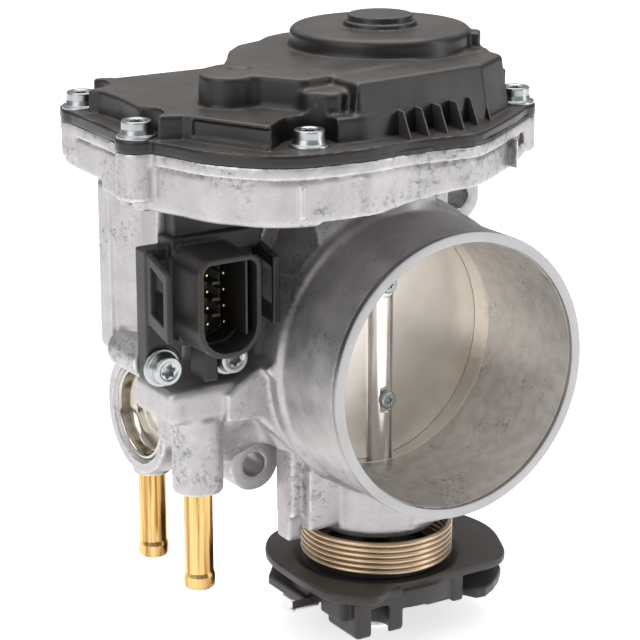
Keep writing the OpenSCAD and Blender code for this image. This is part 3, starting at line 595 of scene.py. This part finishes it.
# ---- casting ----
def make_casting():
    c = Body((-87, -53, -57), (45, 42, 67.5), 0.64)
    # bore body, stepped up towards the manifold flange
    c.add(bar("y", -39.9, 2, 39.93, edge=0.3))
    c.add(bar("y", -13.6, 15, 41.3, edge=1.1), 2.5)
    c.add(bar("y", -4, 15, 42.6, edge=1.5), 3)
    c.add(bar("y", 11.2, 24, 44.6, edge=0.8), 1.5)
    for sx in (-1, 1):
        for sz in (-1, 1):
            c.add(bar("y", 10.6, 24, 7.8, (sx * half_bolt, sz * half_bolt), edge=0.6), 1.5)
            web = block((30, 45), (12, 24), (-6.2, 6.2), 0.8)
            c.add(turned(web, "y", -math.degrees(math.atan2(sz, sx)), (0, 0, 0)), 2.2)
    # shaft bosses above and below, neck and gussets
    c.add(bar("z", 30, 51, 15), 2.5)
    c.add(block((-34, 7), (-9, 20), (20, 51), 3), 3)
    c.add(block((6.2, 7.8), (-13, 12), (34, 51), 0.5), 0.8)
    c.add(block((6, 33), (12, 24), (30, 51), 0.8), 1.2)
    c.add(bar("z", -52.2, -30, 18.5, edge=0.6), 1.2)
    c.add(bar("z", -54, -51.6, 17.6, edge=1.5), 0.6)
    c.add(block((0, 17), (-18.9, 2), (-50.8, -33), 0.7), 0.4)
    c.take(bar("z", -50.6, -30, 1.3, (-1.0, -19.2), edge=0.2), 0.4)
    # gear tray: lip, wall, bottom at two levels
    c.add(sheet("z", tray_edge, tray_low, rim_z - 3, 1.9, 1.6, -0.012), 0)
    under_tray = [(-48.4, 40), (-48, 50.7), (-31, 50.8), (-20, 52.3), (-11, 53.6), (-4, 54),
                  (50, 54), (50, 40)]
    c.take(sheet("y", under_tray, -60, -19.5, 0, 0.2), 1.0)
    c.take(block((19, 60), (-30, 50), (40, 54), 0.8), 1.0)
    c.take(block((-90, -60), (14, 50), (40, 52.9), 1.2), 1.2)
    c.add(bar("z", 30, 53, 15), 2.0)
    c.add(block((-34, 7), (-9, 20), (20, 54.8), 3), 2.5)
    c.add(sheet("z", tray_edge, rim_z - 3.1, rim_z, 3.05, 0.35), 0.35)
    for x, y in screw_places:
        low = 53 if x < -70 and y < 0 else 56
        c.add(bar("z", low, rim_z, 5.6, (x, y), edge=0.4), 0.9)
    c.add(bar("z", 49.6, 56, 2.2, (-77.6, -8.2), r_end=4.6, edge=0.6), 0.8)
    c.add(block((-54.6, -52.6), (-47.9, -44), (52, 61), 0.6), 0.4)
    c.add(block((18.3, 19.1), (-38.6, -33), (54.4, 62.6), 0.3), 0.2)
    for x, y in ((-46.6, -50.9), (-43.6, -50.9), (-40.6, -51.0), (-37.6, -51.0)):
        c.take(bar("z", 46, 61.2, 2.6, (x, y), edge=0.9), 0.9)
    c.take(block((24, 27.6), (-34.5, -27), (58.4, 61.6), 0.6), 0.2)
    # motor barrel with a flat web to the body
    c.add(bar("z", 2.4, 54, 17.0, motor_at, 17.5, 2.2), 2.0)
    c.add(block((-57.5, -20), (8.5, 23.2), (8, 51), 3), 3)
    c.add(block((-75.9, -73.2), (15.6, 22.4), (5, 51), 1.0), 1.0)
    c.add(bar("z", 48, 54, 2.2, (-75.4, 4.6), edge=0.8), 1.0)
    # coolant passage: plug boss, cross way and the front nipple's boss with the shelf above it
    c.add(bar("x", -66, -40, 17.0, plug_at, 17.6, 0.5), 2.5)
    c.add(bar("x", -54, -30, 13.5, (15, -16.8), edge=4), 4)
    c.add(block((-70.6, -38), (-7.8, 14), (-11.8, -1.4), 2.6), 2.2)
    c.add(bar("x", -66, -30, 7.6, (5, -13.0), edge=2.5), 2.5)
    c.add(bar("z", -33, -11, 7.0, front_nipple_at, edge=0.7), 1.4)
    c.add(block((-59, -52.4), (-1.2, 9), (-33, -11), 0.9), 1.2)
    c.add(bar("z", -36.4, -24, 5.4, rear_nipple_at, edge=0.6), 1.0)
    c.add(sheet("y", [(-54, -5), (-43, 2), (-36, 7), (-33, -24), (-44, -13), (-54, -12)],
                -9.6, 9, 0.4, 1.0), 1.0)
    c.add(sheet("y", [(-43.4, 1.4), (-37, 5.4), (-34.5, -9)], -12.4, -6, 0.3, 0.5), 0.8)
    # connector pads and bracket ribs that run down to the collar
    for x in socket_screws:
        c.add(bar("y", -2.2, 14, 5.2, (x, socket_screw_z), edge=0.4), 0.9)
    c.add(block((-70.7, -50.7), (-2.2, 18), (34, 51.6), 0.8), 1.2)
    # clear room for the bolt heads, and the post beside the return spring
    for sx in (-1, 1):
        for sz in (-1, 1):
            c.take(bar("y", -10, 10.5, 8.6, (sx * half_bolt, sz * half_bolt), edge=0.3), 0.4)
    c.add(block((-30.7, -26.0), (-1.6, 5), (-54.7, -14), 0.8), 1.0)
    c.add(block((-30.7, -22), (-3.4, 5), (-47.4, -14), 0.9), 0.6)
    c.add(block((-27, -10), (-7.4, 8), (-50.6, -32), 0.9), 0.6)
    # hollow work: bore, shaft way, tray, motor, bolt holes
    c.take(bar("y", -44, 30, 35.35, edge=0))
    c.take(bar("y", -44, -2.5, 37.6, r_end=35.35, edge=0))
    c.take(bar("z", -60, 54, 4.75, edge=0))
    c.take(bar("z", -60, -40, 6.8, edge=0))
    c.take(bar("z", 41.8, 54, 6.8, edge=0))
    inner = sheet("z", tray_edge, tray_floor, rim_z + 2, -1.2, 0.6)
    c.take((lambda p: np.maximum(np.maximum(inner[0](p), raised_floor(p)), -np.minimum.reduce(
        [np.hypot(p[0] - x, p[1] - y) - 5.2 for x, y in screw_places])), inner[1]))
    for x, y in screw_places:
        c.take(bar("z", rim_z - 12, rim_z + 2, 2.05, (x, y), edge=0))
    c.take(bar("z", 8.3, 54, 15.3, motor_at, edge=0))
    c.take(bar("z", tray_floor - 2.4, 56, 2.6, (-41.8, -4.2), edge=0))
    for a in (math.radians(30), math.radians(-110)):
        clamp_screw = (motor_at[0] + 18.2 * math.cos(a), motor_at[1] + 18.2 * math.sin(a))
        c.take(bar("z", 50.4, 54, 1.6, clamp_screw, edge=0))
    c.take(bar("x", -68, -59, 13.05, plug_at, edge=0))
    c.take(bar("x", -60, -46, 8.5, plug_at, edge=0.3))
    c.take(bar("x", -67, -65, 13.9, plug_at, edge=0.2), 0.3)
    for place, top in ((rear_nipple_at, -26), (front_nipple_at, -22)):
        c.take(bar("z", -40, top, 4.08, place, edge=0))
    for x in socket_screws:
        c.take(bar("y", -4, 7.8, 2.1, (x, socket_screw_z), edge=0))
    for sx in (-1, 1):
        for sz in (-1, 1):
            c.take(bar("y", -10, 26, 3.5, (sx * half_bolt, sz * half_bolt), edge=0), 0.3)
    return c.skin("casting")


dress(make_casting(), cast_aluminium, "cast_aluminium", "housing", "throttle_housing")


# ---- machined rings of the bore ----
mouth = lathed("collar_mouth", [(37.12, -41.2), (40, -41.2), (40, -39.2), (37.9, -39.2), (37.3, -39.9)], "y",
               round_by=0.28, turns=256)
dress(mouth, mouth_rim, "cast_aluminium", "housing", "throttle_housing")
funnel = lathed("mouth_funnel", [(37.0, -39.9), (36.9, -38.6), (36.35, -30), (35.75, -20), (35.3, -10),
                                 (35.12, -4.6), (35.3, -4.5), (35.6, -10), (36.1, -20), (36.8, -30),
                                 (37.45, -39.8)], "y", round_by=0.05, turns=256)
dress(funnel, rough_cast, "cast_aluminium", "housing", "throttle_housing")
ring = lathed("bore_ring", [(35.0, -4.2), (35.06, -4.7), (35.34, -4.7), (35.34, 23.6), (35.0, 23.9)], "y",
              round_by=0.04, turns=256)
dress(ring, satin_bore, "cast_aluminium", "housing", "throttle_housing")


# ---- plastic gear cover ----
def make_cover():
    c = Body((-86, -52, 60), (38, 42, 94), 0.46)
    z = rim_z
    low_edge = [(-65.5, 34), (-36, 33.5), (-30, 36), (22, 33), (27, 24), (27, -10), (22, -18), (0, -34),
                (-20, -40), (-32, -41.2), (-56.6, -40), (-58.6, -39), (-69.6, -16.4), (-75.2, -13.8),
                (-75.2, -11), (-74, -4), (-72.2, 12), (-72.6, 23), (-75, 26), (-75.4, 28.4), (-72, 30.4)]
    c.add(sheet("z", low_edge, z - 6, z + 10, 2.0, 1.1, 0.03), 0)
    c.add(bar("z", z - 6, z + 10, 3.2, (-67, 34.4), edge=1.0), 1.0)
    # middle level: boss over the intermediate wheel, hump behind, box in front of the dome
    c.add(bar("z", z - 6, z + 18.4, 8.2, (-54.5, -12.5), 7.7, 1.3), 1.2)
    mid_edge = [(18, -18), (18, 12), (10, 22), (-4, 26.4), (-12, 27), (-17.5, 25), (-23, 20.4), (-31, 17.4),
                (-36, 12.4), (-41.6, 3.6), (-47, -3.6), (-52, -8), (-50, -16), (-46.6, -18.6), (-41.4, -26.6)]
    c.add(sheet("z", mid_edge, z - 6, z + 18.4, 4.4, 1.3, 0.02), 1.8)
    box_edge = [(-33.2, -40.4), (-12, -38.4), (8.4, -35.6), (21.2, -27), (22.6, -20), (23, 14), (-10, 16),
                (-34.4, -20)]
    c.add(sheet("z", box_edge, z - 6, z + 18.0, 4.0, 1.2, 0.17), 1.4)
    c.add(bar("z", z - 6, z + 15.6, 7.4, (-37.6, -31.6), 6.4, 1.6), 1.6)
    c.add(bar("z", z - 6, z + 23.8, 25.8, edge=1.9, r_end=24.6), 1.2)
    c.add(turned(block((24, 27.2), (-3.4, 3.4), (z + 10, z + 22.6), 1.0), "z", -37), 0.9)
    c.add(bar("z", z + 22, z + 25.2, 9.9, edge=0.5), 0.7)
    c.add(bar("z", z + 23.2, z + 27, 9.0, edge=0.5), 0.4)
    # clear pockets round the screws
    for x, y in screw_places:
        r = 7.4 if x > -70 or y > 0 else 6.9
        c.take(bar("z", z + 3.4, z + 40, r, (x, y), edge=0), 0.7)
        outward = math.degrees(math.atan2(y, x))
        c.take(turned(block((x, x + 14), (y - r, y + r), (z + 3.4, z + 40), 0), "z", outward,
                      (x, y, 0)), 0.7)
    # recessed panels in the front-left walls
    along = math.degrees(math.atan2(-42.7 + 16.6, -58.8 + 71.6))
    c.take(turned(block((-71.2 + 3, -71.2 + 26.4), (-19.8, -16.2), (z + 4.8, z + 9.0), 0.6), "z", along,
                  (-71.2, -17.6, 0)), 0.6)
    # flange and screw seats
    c.add(sheet("z", tray_edge, z + 0.02, z + 3.4, 3.05, 0.45), 0.7)
    for x, y in screw_places:
        c.add(bar("z", z + 0.02, z + 3.4, 5.6, (x, y), edge=0.4), 0.8)
    # ribs at the right-hand end
    for y in (-15.5, -9.5):
        c.add(block((24, 30.5), (y - 1.2, y + 1.2), (z + 3, z + 11.5), 0.5), 0.5)
    # notch in the front edge of the flange, and the ring on the boss
    c.take(block((-14.4, -13.4), (-51, -49.0), (z + 0.5, z + 2.9), 0.1))
    c.take(bar("z", z + 18.1, z + 19, 3.0, (-50.6, -11.2), edge=0), 0)
    c.add(bar("z", z + 16, z + 18.22, 2.5, (-50.6, -11.2), edge=0.1), 0)
    # hollow underside: walls of 2.2 mm, open at the joint face
    c.d = hollowed(c, 2.2)
    c.take(block((-90, 50), (-60, 50), (50, z + 0.02), 0))
    for x, y in screw_places:
        c.take(bar("z", z - 1, z + 12, 2.4, (x, y), edge=0))
    return c.skin("cover_shell")


def hollowed(body, wall):
    """Hollows a body from below, leaving the wall over the inside and the whole flange."""
    z = body.lines[2][None, None, :]
    room = np.maximum(body.d + wall, rim_z - 3 - z)
    across, along = body.lines[0][:, None, None], body.lines[1][None, :, None]
    flange = np.minimum.reduce([np.hypot(across - x, along - y) - 9.3 for x, y in screw_places])
    ring = outline_distance(across, along, tray_edge) + 3.6
    deep = np.minimum(body.d, 9) + wall
    cut = np.maximum(np.maximum(deep, ring), -flange)
    cut = np.where(z < rim_z + 1.2, np.maximum(ring, -flange), cut)
    return np.maximum(body.d, -np.maximum(cut, np.minimum(room, 9)).astype(np.float32)).astype(np.float32)


dress(make_cover(), cover_plastic, "black_plastic", "housing", "gear_cover")


def make_fins():
    """Thin three-cornered gussets between the cover's flange and its front wall."""
    points, faces = [], []
    for x, y in ((-21.6, -47.6), (-15.6, -47.0), (-9.6, -46.6), (-3.6, -45.4), (2.8, -42.6), (9.2, -39.4)):
        side = [(y, rim_z + 3.3), (y + 0.3, rim_z + 3.9), (y + 3.8, rim_z + 10.0), (y + 9, rim_z + 10.2),
                (y + 9, rim_z + 3.3)]
        base = len(points)
        for t in (-0.2, 0.2):
            points += [(x + t, v, z) for v, z in side]
        faces += [(base + k, base + (k + 1) % 5, base + 5 + (k + 1) % 5, base + 5 + k) for k in range(5)]
        faces += [(base, base + 4, base + 1), (base + 1, base + 4, base + 3, base + 2),
                  (base + 5, base + 6, base + 9), (base + 6, base + 7, base + 8, base + 9)]
    return add_object("cover_fins", to_row(points), faces, smooth=False)


# The fins take the lighter plastic as a painted highlight.
dress(make_fins(), fin_plastic_painted_highlight, "black_plastic", "housing", "gear_cover")


# ---- flanged star screws ----
def star_screw(step=0.17):
    c = Body((-6, -6, -14), (6, 6, 5.6), step)
    c.add(bar("z", 0.0, 0.95, 5.3, edge=0.3, r_end=5.2), 0)
    c.add(bar("z", 0.3, 1.9, 4.6, edge=0.1, r_end=4.0), 0.3)
    c.add(bar("z", 0.5, 4.55, 3.95, edge=0.45), 0.5)
    c.take(bar("z", 4.25, 5.4, 2.45, edge=0, r_end=3.1), 0.3)
    c.take((lambda p: np.maximum(np.hypot(p[0], p[1]) - 1.72 - 0.32 * np.cos(6 * np.arctan2(p[1], p[0])),
                                 2.1 - p[2]), [(-2.2, 2.2), (-2.2, 2.2), (2.1, 6)]), 0.15)
    c.add(bar("z", -12.3, 0.3, 1.95, edge=0.3), 0)
    return c


screw_field = star_screw()


def screw_at(name, place, direction="z", turn=0):
    piece = screw_field.skin(name, 50)
    shift = Matrix.Translation((0, shaft_to_face * MM, 0))
    spin = Matrix.Rotation(math.radians(turn), 4, "Z")
    tip = Matrix.Identity(4) if direction == "z" else Matrix.Rotation(math.radians(90), 4, "X")
    x, y, z = place
    move = Matrix.Translation((x * MM, (y - shaft_to_face) * MM, z * MM))
    piece.data.transform(move @ tip @ spin @ shift)
    return piece


cover_bolts = [screw_at("cover_bolt", (x, y, rim_z + 3.42), "z", 17 * n)
               for n, (x, y) in enumerate(screw_places)]
dress(joined("cover_bolts", cover_bolts), zinc_steel, "zinc_steel", "housing", "cover_screws")
plug_bolts = [screw_at("connector_bolt", (x, -7.42, socket_screw_z), "y", t)
              for x, t in zip(socket_screws, (12, 35))]
dress(joined("connector_bolts", plug_bolts), zinc_steel, "zinc_steel", "housing", "connector_screws")


# ---- plate screws: round heads with a cross-shaped star ----
def make_plate_screws():
    c = Body((-6, -8, -21), (6, 7, 21), 0.16)
    for z in (-17, 17):
        c.add(bar("y", -5.5, -3.8, 2.6, (0, z), edge=0.55), 0)
        c.add(bar("y", -4.4, 4.0, 1.45, (0, z), edge=0.2), 0)
        c.take((lambda p, z=z: np.maximum(np.hypot(p[0], p[2] - z) - 0.95
                - 0.3 * np.cos(6 * np.arctan2(p[2] - z, p[0])), p[1] + 4.7),
               [(-1.4, 1.4), (-7, -4.7), (z - 1.4, z + 1.4)]), 0.12)
    piece = c.skin("plate_bolts", 50)
    shift = Matrix.Translation((0, -shaft_to_face * MM, 0))
    piece.data.transform(shift @ Matrix.Rotation(math.radians(5), 4, "Z") @ shift.inverted())
    return piece


dress(make_plate_screws(), zinc_steel, "zinc_steel", "throttle", "plate_screws")


# ---- connector ----
def make_connector():
    c = Body((-82, -27, 0), (-42, 0, 51), 0.3)
    cx, cz, front, back = -61.7, 25.6, -8.0, -2.22
    left_screw, right_screw = [(x, socket_screw_z) for x in socket_screws]
    c.add(block((cx - 15.7, cx + 18.5), (front, back), (11, 38.6), 0.6), 0)
    c.add(block((cx - 9, cx + 18), (front - 2.2, back), (36, 41.2), 0.5), 0.5)
    c.add(block((cx - 7, cx + 14), (front, back), (37, 49.2), 0.6), 0.6)
    c.add(block((cx - 15.7, cx - 5.2), (front, back), (4.0, 13), 0.6), 0)
    c.add(block((cx - 15.7, cx - 9), (front, back), (2.2, 8), 1.2), 0.4)
    c.take(bar("y", front - 1, front + 0.58, 5.9, left_screw, edge=0), 0.1)
    c.add(sheet("y", [(-57.4, 12), (-57.4, 3.6), (-56, 1.6), (-49, 1.6), (-46.8, 4), (-46.8, 12)],
                front, back, 0.4, 0.4), 0.3)
    c.add(block((-61.6, -57.4), (front - 2.4, back), (0.6, 14), 0.5), 0.3)
    c.take(bar("y", front - 1, front + 0.58, 5.6, right_screw, edge=0), 0.1)
    c.take(bar("y", front - 3, back + 1, 2.3, left_screw, edge=0))
    c.take(bar("y", front - 3, back + 1, 2.3, right_screw, edge=0))
    # shroud: small corners above, large corners below
    w, low, high = 18.6, 11.4, 38.6
    ring = [(cx - w / 2 + 4, high - 4), (cx + w / 2 - 4, high - 4)]
    for side, start in ((1, 0), (-1, 90)):
        for k in range(6):
            a = math.radians(-(start + 18 * k))
            ring.append((cx + side * (w / 2 - 8.4) + 4.4 * math.cos(a), low + 8.4 + 4.4 * math.sin(a)))
    c.add(sheet("y", ring, -25, front + 1, 4.0, 0.45, -0.02), 0.6)
    c.take(sheet("y", ring, -26, -10, 2.45, 0.3), 0.1)
    c.add(sheet("y", ring, -16, -9, 2.8, 0.3), 0)
    c.take(sheet("y", ring, -17, -10, 1.7, 0.3), 0.1)
    # inner block that the pins stand in, with ribs between them
    c.add(block((cx - 8.4, cx + 0.6), (-12.6, -8), (cz - 12, cz + 12), 0.5), 0.1)
    for k in range(3):
        c.add(block((cx - 1.4, cx + 1.2), (-17.5, -9), (cz - 4.9 + 4.4 * k, cz - 3.9 + 4.4 * k), 0.2), 0.1)
    c.add(block((cx + 5.2, cx + 5.9), (-23.5, -9), (cz - 9, cz + 11.5), 0.2), 0.1)
    # side guards with their windows
    c.add(sheet("x", [(-8.4, 37.4), (-8.4, 19), (-18.6, 16.4), (-18.6, 34.2)],
                cx - 15.3, cx - 13.4, 0.4, 0.4), 0.4)
    c.take(sheet("x", [(-9.8, 34.8), (-9.8, 22), (-16.6, 20), (-16.6, 32)], cx - 18, cx - 12, 0, 0.1), 0.1)
    c.add(sheet("x", [(-8.4, 37), (-8.4, 18), (-18.6, 17), (-18.6, 34.6)],
                cx + 16.2, cx + 18.5, 0.4, 0.4), 0.4)
    c.take(sheet("x", [(-9.8, 33.6), (-9.8, 21.4), (-18.0, 20.4), (-18.0, 32)],
                 cx + 15, cx + 20, 0, 0.1), 0.1)
    c.add(block((cx - 13, cx - 9), (-11, front), (27, 36), 1.2), 0.8)
    for x in (-2.5, 2.5):
        for k in range(4):
            at = cz - 6.6 + 4.4 * k
            c.take(block((cx + x - 0.42, cx + x + 0.42), (-14, 0), (at - 0.42, at + 0.42), 0))
    return c.skin("connector_shell", 42)


dress(make_connector(), connector_plastic, "connector_plastic", "housing", "connector_housing")


def make_pins():
    c = Body((-66, -18.4, 17), (-57, 0, 35), 0.12)
    for x in (-64.2, -59.2):
        for k in range(4):
            at = 19.0 + 4.4 * k
            c.add(block((x - 0.35, x + 0.35), (-17, -2.8), (at - 0.35, at + 0.35), 0.14))
    return c.skin("connector_contacts", 50)


dress(make_pins(), contact_gold, "contact_gold", "housing", "connector_pins")

# ---- coolant fittings ----
plug = lathed("core_plug_dish", [(0.02, -59.6), (6, -59.75), (10.2, -60.5), (11.4, -61.6), (11.75, -64.5),
                                 (12.1, -65.1), (12.98, -65.0), (12.98, -59.9), (12.0, -59.2), (0.02, -59.0)],
              "x", plug_at, 0.5)
dress(plug, polished_plug, "plug_steel", "housing", "core_plug")


def nipple_profile(low, top):
    return [(2.9, low), (3.7, low), (4.32, low + 0.7), (4.4, low + 1.4), (4.4, low + 3.6), (4.02, low + 5.0),
            (4.0, low + 5.6), (4.0, top), (2.9, top)]


nipples = [lathed("hose_nipple", nipple_profile(-61.6, -31), "z", rear_nipple_at, 0.3, 96),
           lathed("hose_nipple", nipple_profile(-61.6, -23), "z", front_nipple_at, 0.3, 96)]
dress(joined("coolant_nipples", nipples), brass, "brass", "housing", "hose_nipples")


# ---- return spring ----
def spring_path():
    wire_d, r, turns, post = 1.7, 21.15, 5.6, -29.6
    start, bend = 172.0, 2.6
    bx = r * math.cos(math.radians(start)) - bend * math.cos(math.radians(start - 180))
    by = r * math.sin(math.radians(start)) - bend * math.sin(math.radians(start - 180))
    z = -53.1 - wire_d / 2
    path = [(post + 0.2 + k * (bx - post - 0.2) / 4, by + bend, z) for k in range(4)]
    for n in range(7):
        a = math.radians(90 - (270 - start) * n / 6)
        path.append((bx + bend * math.cos(a), by + bend * math.sin(a), z))
    count = int(64 * turns)
    for n in range(1, count + 1):
        a = math.radians(start - 360 + 360 * turns * n / count)
        path.append((r * math.cos(a), r * math.sin(a), z - 1.65 * turns * n / count))
    return path


dress(wire("spring_coil", spring_path(), 0.83), spring_wire, "spring_wire", "housing", "return_spring")


# ---- cable quadrant ----
def make_quadrant():
    q = quadrant_top
    c = Body((-36, -34, -82), (44, 36, -60), 0.4)
    top = [(-25, 21.7), (-29, 12.7), (-29.5, -3.2), (-29.1, -15.9), (-26.6, -22.3), (-19.1, -28.6),
           (-14, -26.6), (-9.4, -22.8), (-2, -22.9), (6.1, -23.7), (16.3, -24.1), (27, -23.6),
           (31.6, -20.4), (34.4, -15.2), (39.0, -4.6), (39.4, 4), (37, 13), (30, 19.4), (20, 23),
           (8, 28), (-6, 30.6), (-18, 29)]
    c.add(sheet("z", eased(top), -q - 3.0, -q, 0.0, 0.9), 0)
    c.take(bar("z", -q - 1.4, -q + 1, 21.6, r_end=26.4, edge=0), 0.5)
    c.add(bar("z", -q - 8, -q - 2.6, 25, edge=0.4), 0.8)
    lobe = [(16, -19.5), (19.4, -26.0), (28.3, -21), (36, -12.8), (39.2, -1), (36.4, 12), (20, 21),
            (0, 4), (6, -8)]
    c.add(sheet("z", eased(lobe, 1), -q - 10.8, -q - 7.6, 0.0, 0.7), 0.6)
    c.add(sheet("z", [(-26, -3), (-26, 16), (-17, 27), (-6, 28), (4, 22), (0, 0)],
                -q - 10.8, -q - 7.6, 0.8, 0.7), 0.6)
    c.add(bar("z", -q - 16, -q - 2, 9), 1.0)
    c.add(bar("z", -q - 1, -q + 2.5, 19.8, edge=0.5), 0.5)
    # cable end seat with its hook, and the stop blocks
    c.add(block((-22, -6), (-24, -8), (-q - 14.5, -q - 3), 1.4), 0.6)
    c.add(block((-20.6, -7.4), (-25.2, -20), (-q - 3.4, -q - 1.2), 0.5), 0.8)
    c.take(bar("z", -q - 16, -q - 5.4, 4.6, (-13.6, -19), edge=0.6), 0.5)
    c.take(block((-17, -11), (-30, -19), (-q - 16, -q - 6), 0.6), 0.5)
    c.add(block((2, 11), (-23, -6), (-q - 9.6, -q - 3), 0.7), 0.4)
    c.add(block((11, 14.6), (-23.4, -8), (-q - 10.4, -q - 2.6), 0.6), 0.3)
    c.add(block((-25.4, -19.6), (-20.6, -10), (-q - 9.4, -q - 2), 0.6), 0.4)
    # cup for the spring and the flatted shaft hole
    c.take(bar("z", -q - 0.2, -q + 5, 15.5, edge=0.4), 0.3)
    c.take(bar("z", -q - 20, -q + 6, 4.35, edge=0))
    c.take(block((-31, -24), (-8.1, -2.9), (-q - 9.1, -q - 6.9), 0))
    return c.skin("quadrant_shell")


dress(make_quadrant(), quadrant_plastic, "quadrant_plastic", "throttle", "cable_quadrant")


def make_tab():
    """Folded steel tab with rounded corners."""
    q = quadrant_top
    c = Body((-36, -10, -75), (-22, 0, -66), 0.18)
    c.add(block((-33.9, -24.3), (-7.9, -3.1), (-q - 8.9, -q - 7.9), 0.25), 0)
    c.add(block((-33.9, -32.9), (-7.9, -3.1), (-q - 8.9, -q - 4.8), 0.25), 0.8)
    return c.skin("quadrant_tab", 50)


dress(make_tab(), machined, "zinc_steel", "throttle", "quadrant_insert")

# ---- parts carried over from the solids ----
carried = {
    "cover_gasket": rubber, "throttle_shaft": turned_steel, "throttle_plate": plate_metal,
    "upper_bearing": bearing_steel, "lower_bearing": bearing_steel, "shaft_seal": rubber,
    "throttle_lever": lever_steel, "wiper_arm": cover_plastic, "shaft_nut": zinc_steel,
    "quadrant_nut": zinc_steel, "gear_sector": gear_plastic, "intermediate_gear": gear_plastic,
    "gear_pin": bearing_steel, "idle_motor": motor_steel, "motor_pinion": brass, "motor_clamp": zinc_steel,
    "motor_screws": zinc_steel, "sensor_board": circuit_board, "sensor_screws": zinc_steel,
}
for node, material in carried.items():
    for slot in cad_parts[node].material_slots:
        slot.material = material


# ---- floor, light and camera ----
def make_floor():
    lowest = min(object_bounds()[0].z, cad_box[0].z) - 0.0004
    half = 3
    corners = [(-half, -half, lowest), (half, -half, lowest), (half, half, lowest), (-half, half, lowest)]
    floor = add_object("studio_floor", corners, [(0, 1, 2, 3)], smooth=False)
    mat, _, s = finish("studio_floor")
    s.inputs["Base Color"].default_value = (0.93, 0.93, 0.93, 1)
    s.inputs["Roughness"].default_value = 0.85
    s.inputs["Emission Color"].default_value = (1, 1, 1, 1)
    s.inputs["Emission Strength"].default_value = 0.62
    floor.data.materials.append(mat)


def soft_light(name, place, aim, size, power, color=(1, 1, 1)):
    lamp = bpy.data.lights.new(name, "AREA")
    lamp.shape = "RECTANGLE"
    lamp.size, lamp.size_y = size
    lamp.energy, lamp.color = power, color
    obj = bpy.data.objects.new(name, lamp)
    obj.location = place
    obj.rotation_euler = (Vector(aim) - Vector(place)).to_track_quat("-Z", "Y").to_euler()
    bpy.context.scene.collection.objects.link(obj)


make_floor()
soft_light("sheet_from_left", (-0.95, -0.3, 0.45), (-0.02, -0.02, 0.0), (0.8, 0.8), 3.6, (1, 0.985, 0.97))
soft_light("sheet_from_above", (0.05, 0.1, 0.95), (0, 0, 0.05), (1.1, 0.8), 6.5, (1, 0.99, 0.97))
soft_light("strip_from_right", (0.75, -0.75, 0.3), (0, -0.02, 0), (0.3, 0.8), 2.2, (0.97, 0.98, 1))


def make_studio():
    """Pale surroundings, dimmer towards the horizon."""
    world = bpy.data.worlds.new("studio")
    bpy.context.scene.world = world
    world.use_nodes = True
    n = Nodes(world.node_tree)
    up = n.put("SeparateXYZ", 2, i0=n.put("TexCoord", 0))
    glow = n.between(up, 0.0, 0.7, 0.2, 0.62)
    ground = world.node_tree.nodes["Background"]
    ground.inputs[0].default_value = (1, 0.99, 0.975, 1)
    world.node_tree.links.new(glow, ground.inputs[1])


make_studio()

camera = bpy.data.cameras.new("camera")
camera.sensor_width, camera.lens = 36.0, 130.9
camera.clip_start, camera.clip_end = 0.01, 20
camera_place = bpy.data.objects.new("camera", camera)
camera_place.location = (-0.34531, -0.54792, 0.19664)
aim = Vector((-0.01303, -0.01409, 0.00500)) - Vector(camera_place.location)
camera_place.rotation_euler = aim.to_track_quat("-Z", "Y").to_euler()
bpy.context.scene.collection.objects.link(camera_place)
bpy.context.scene.camera = camera_place
bpy.context.scene.view_settings.view_transform = "Standard"
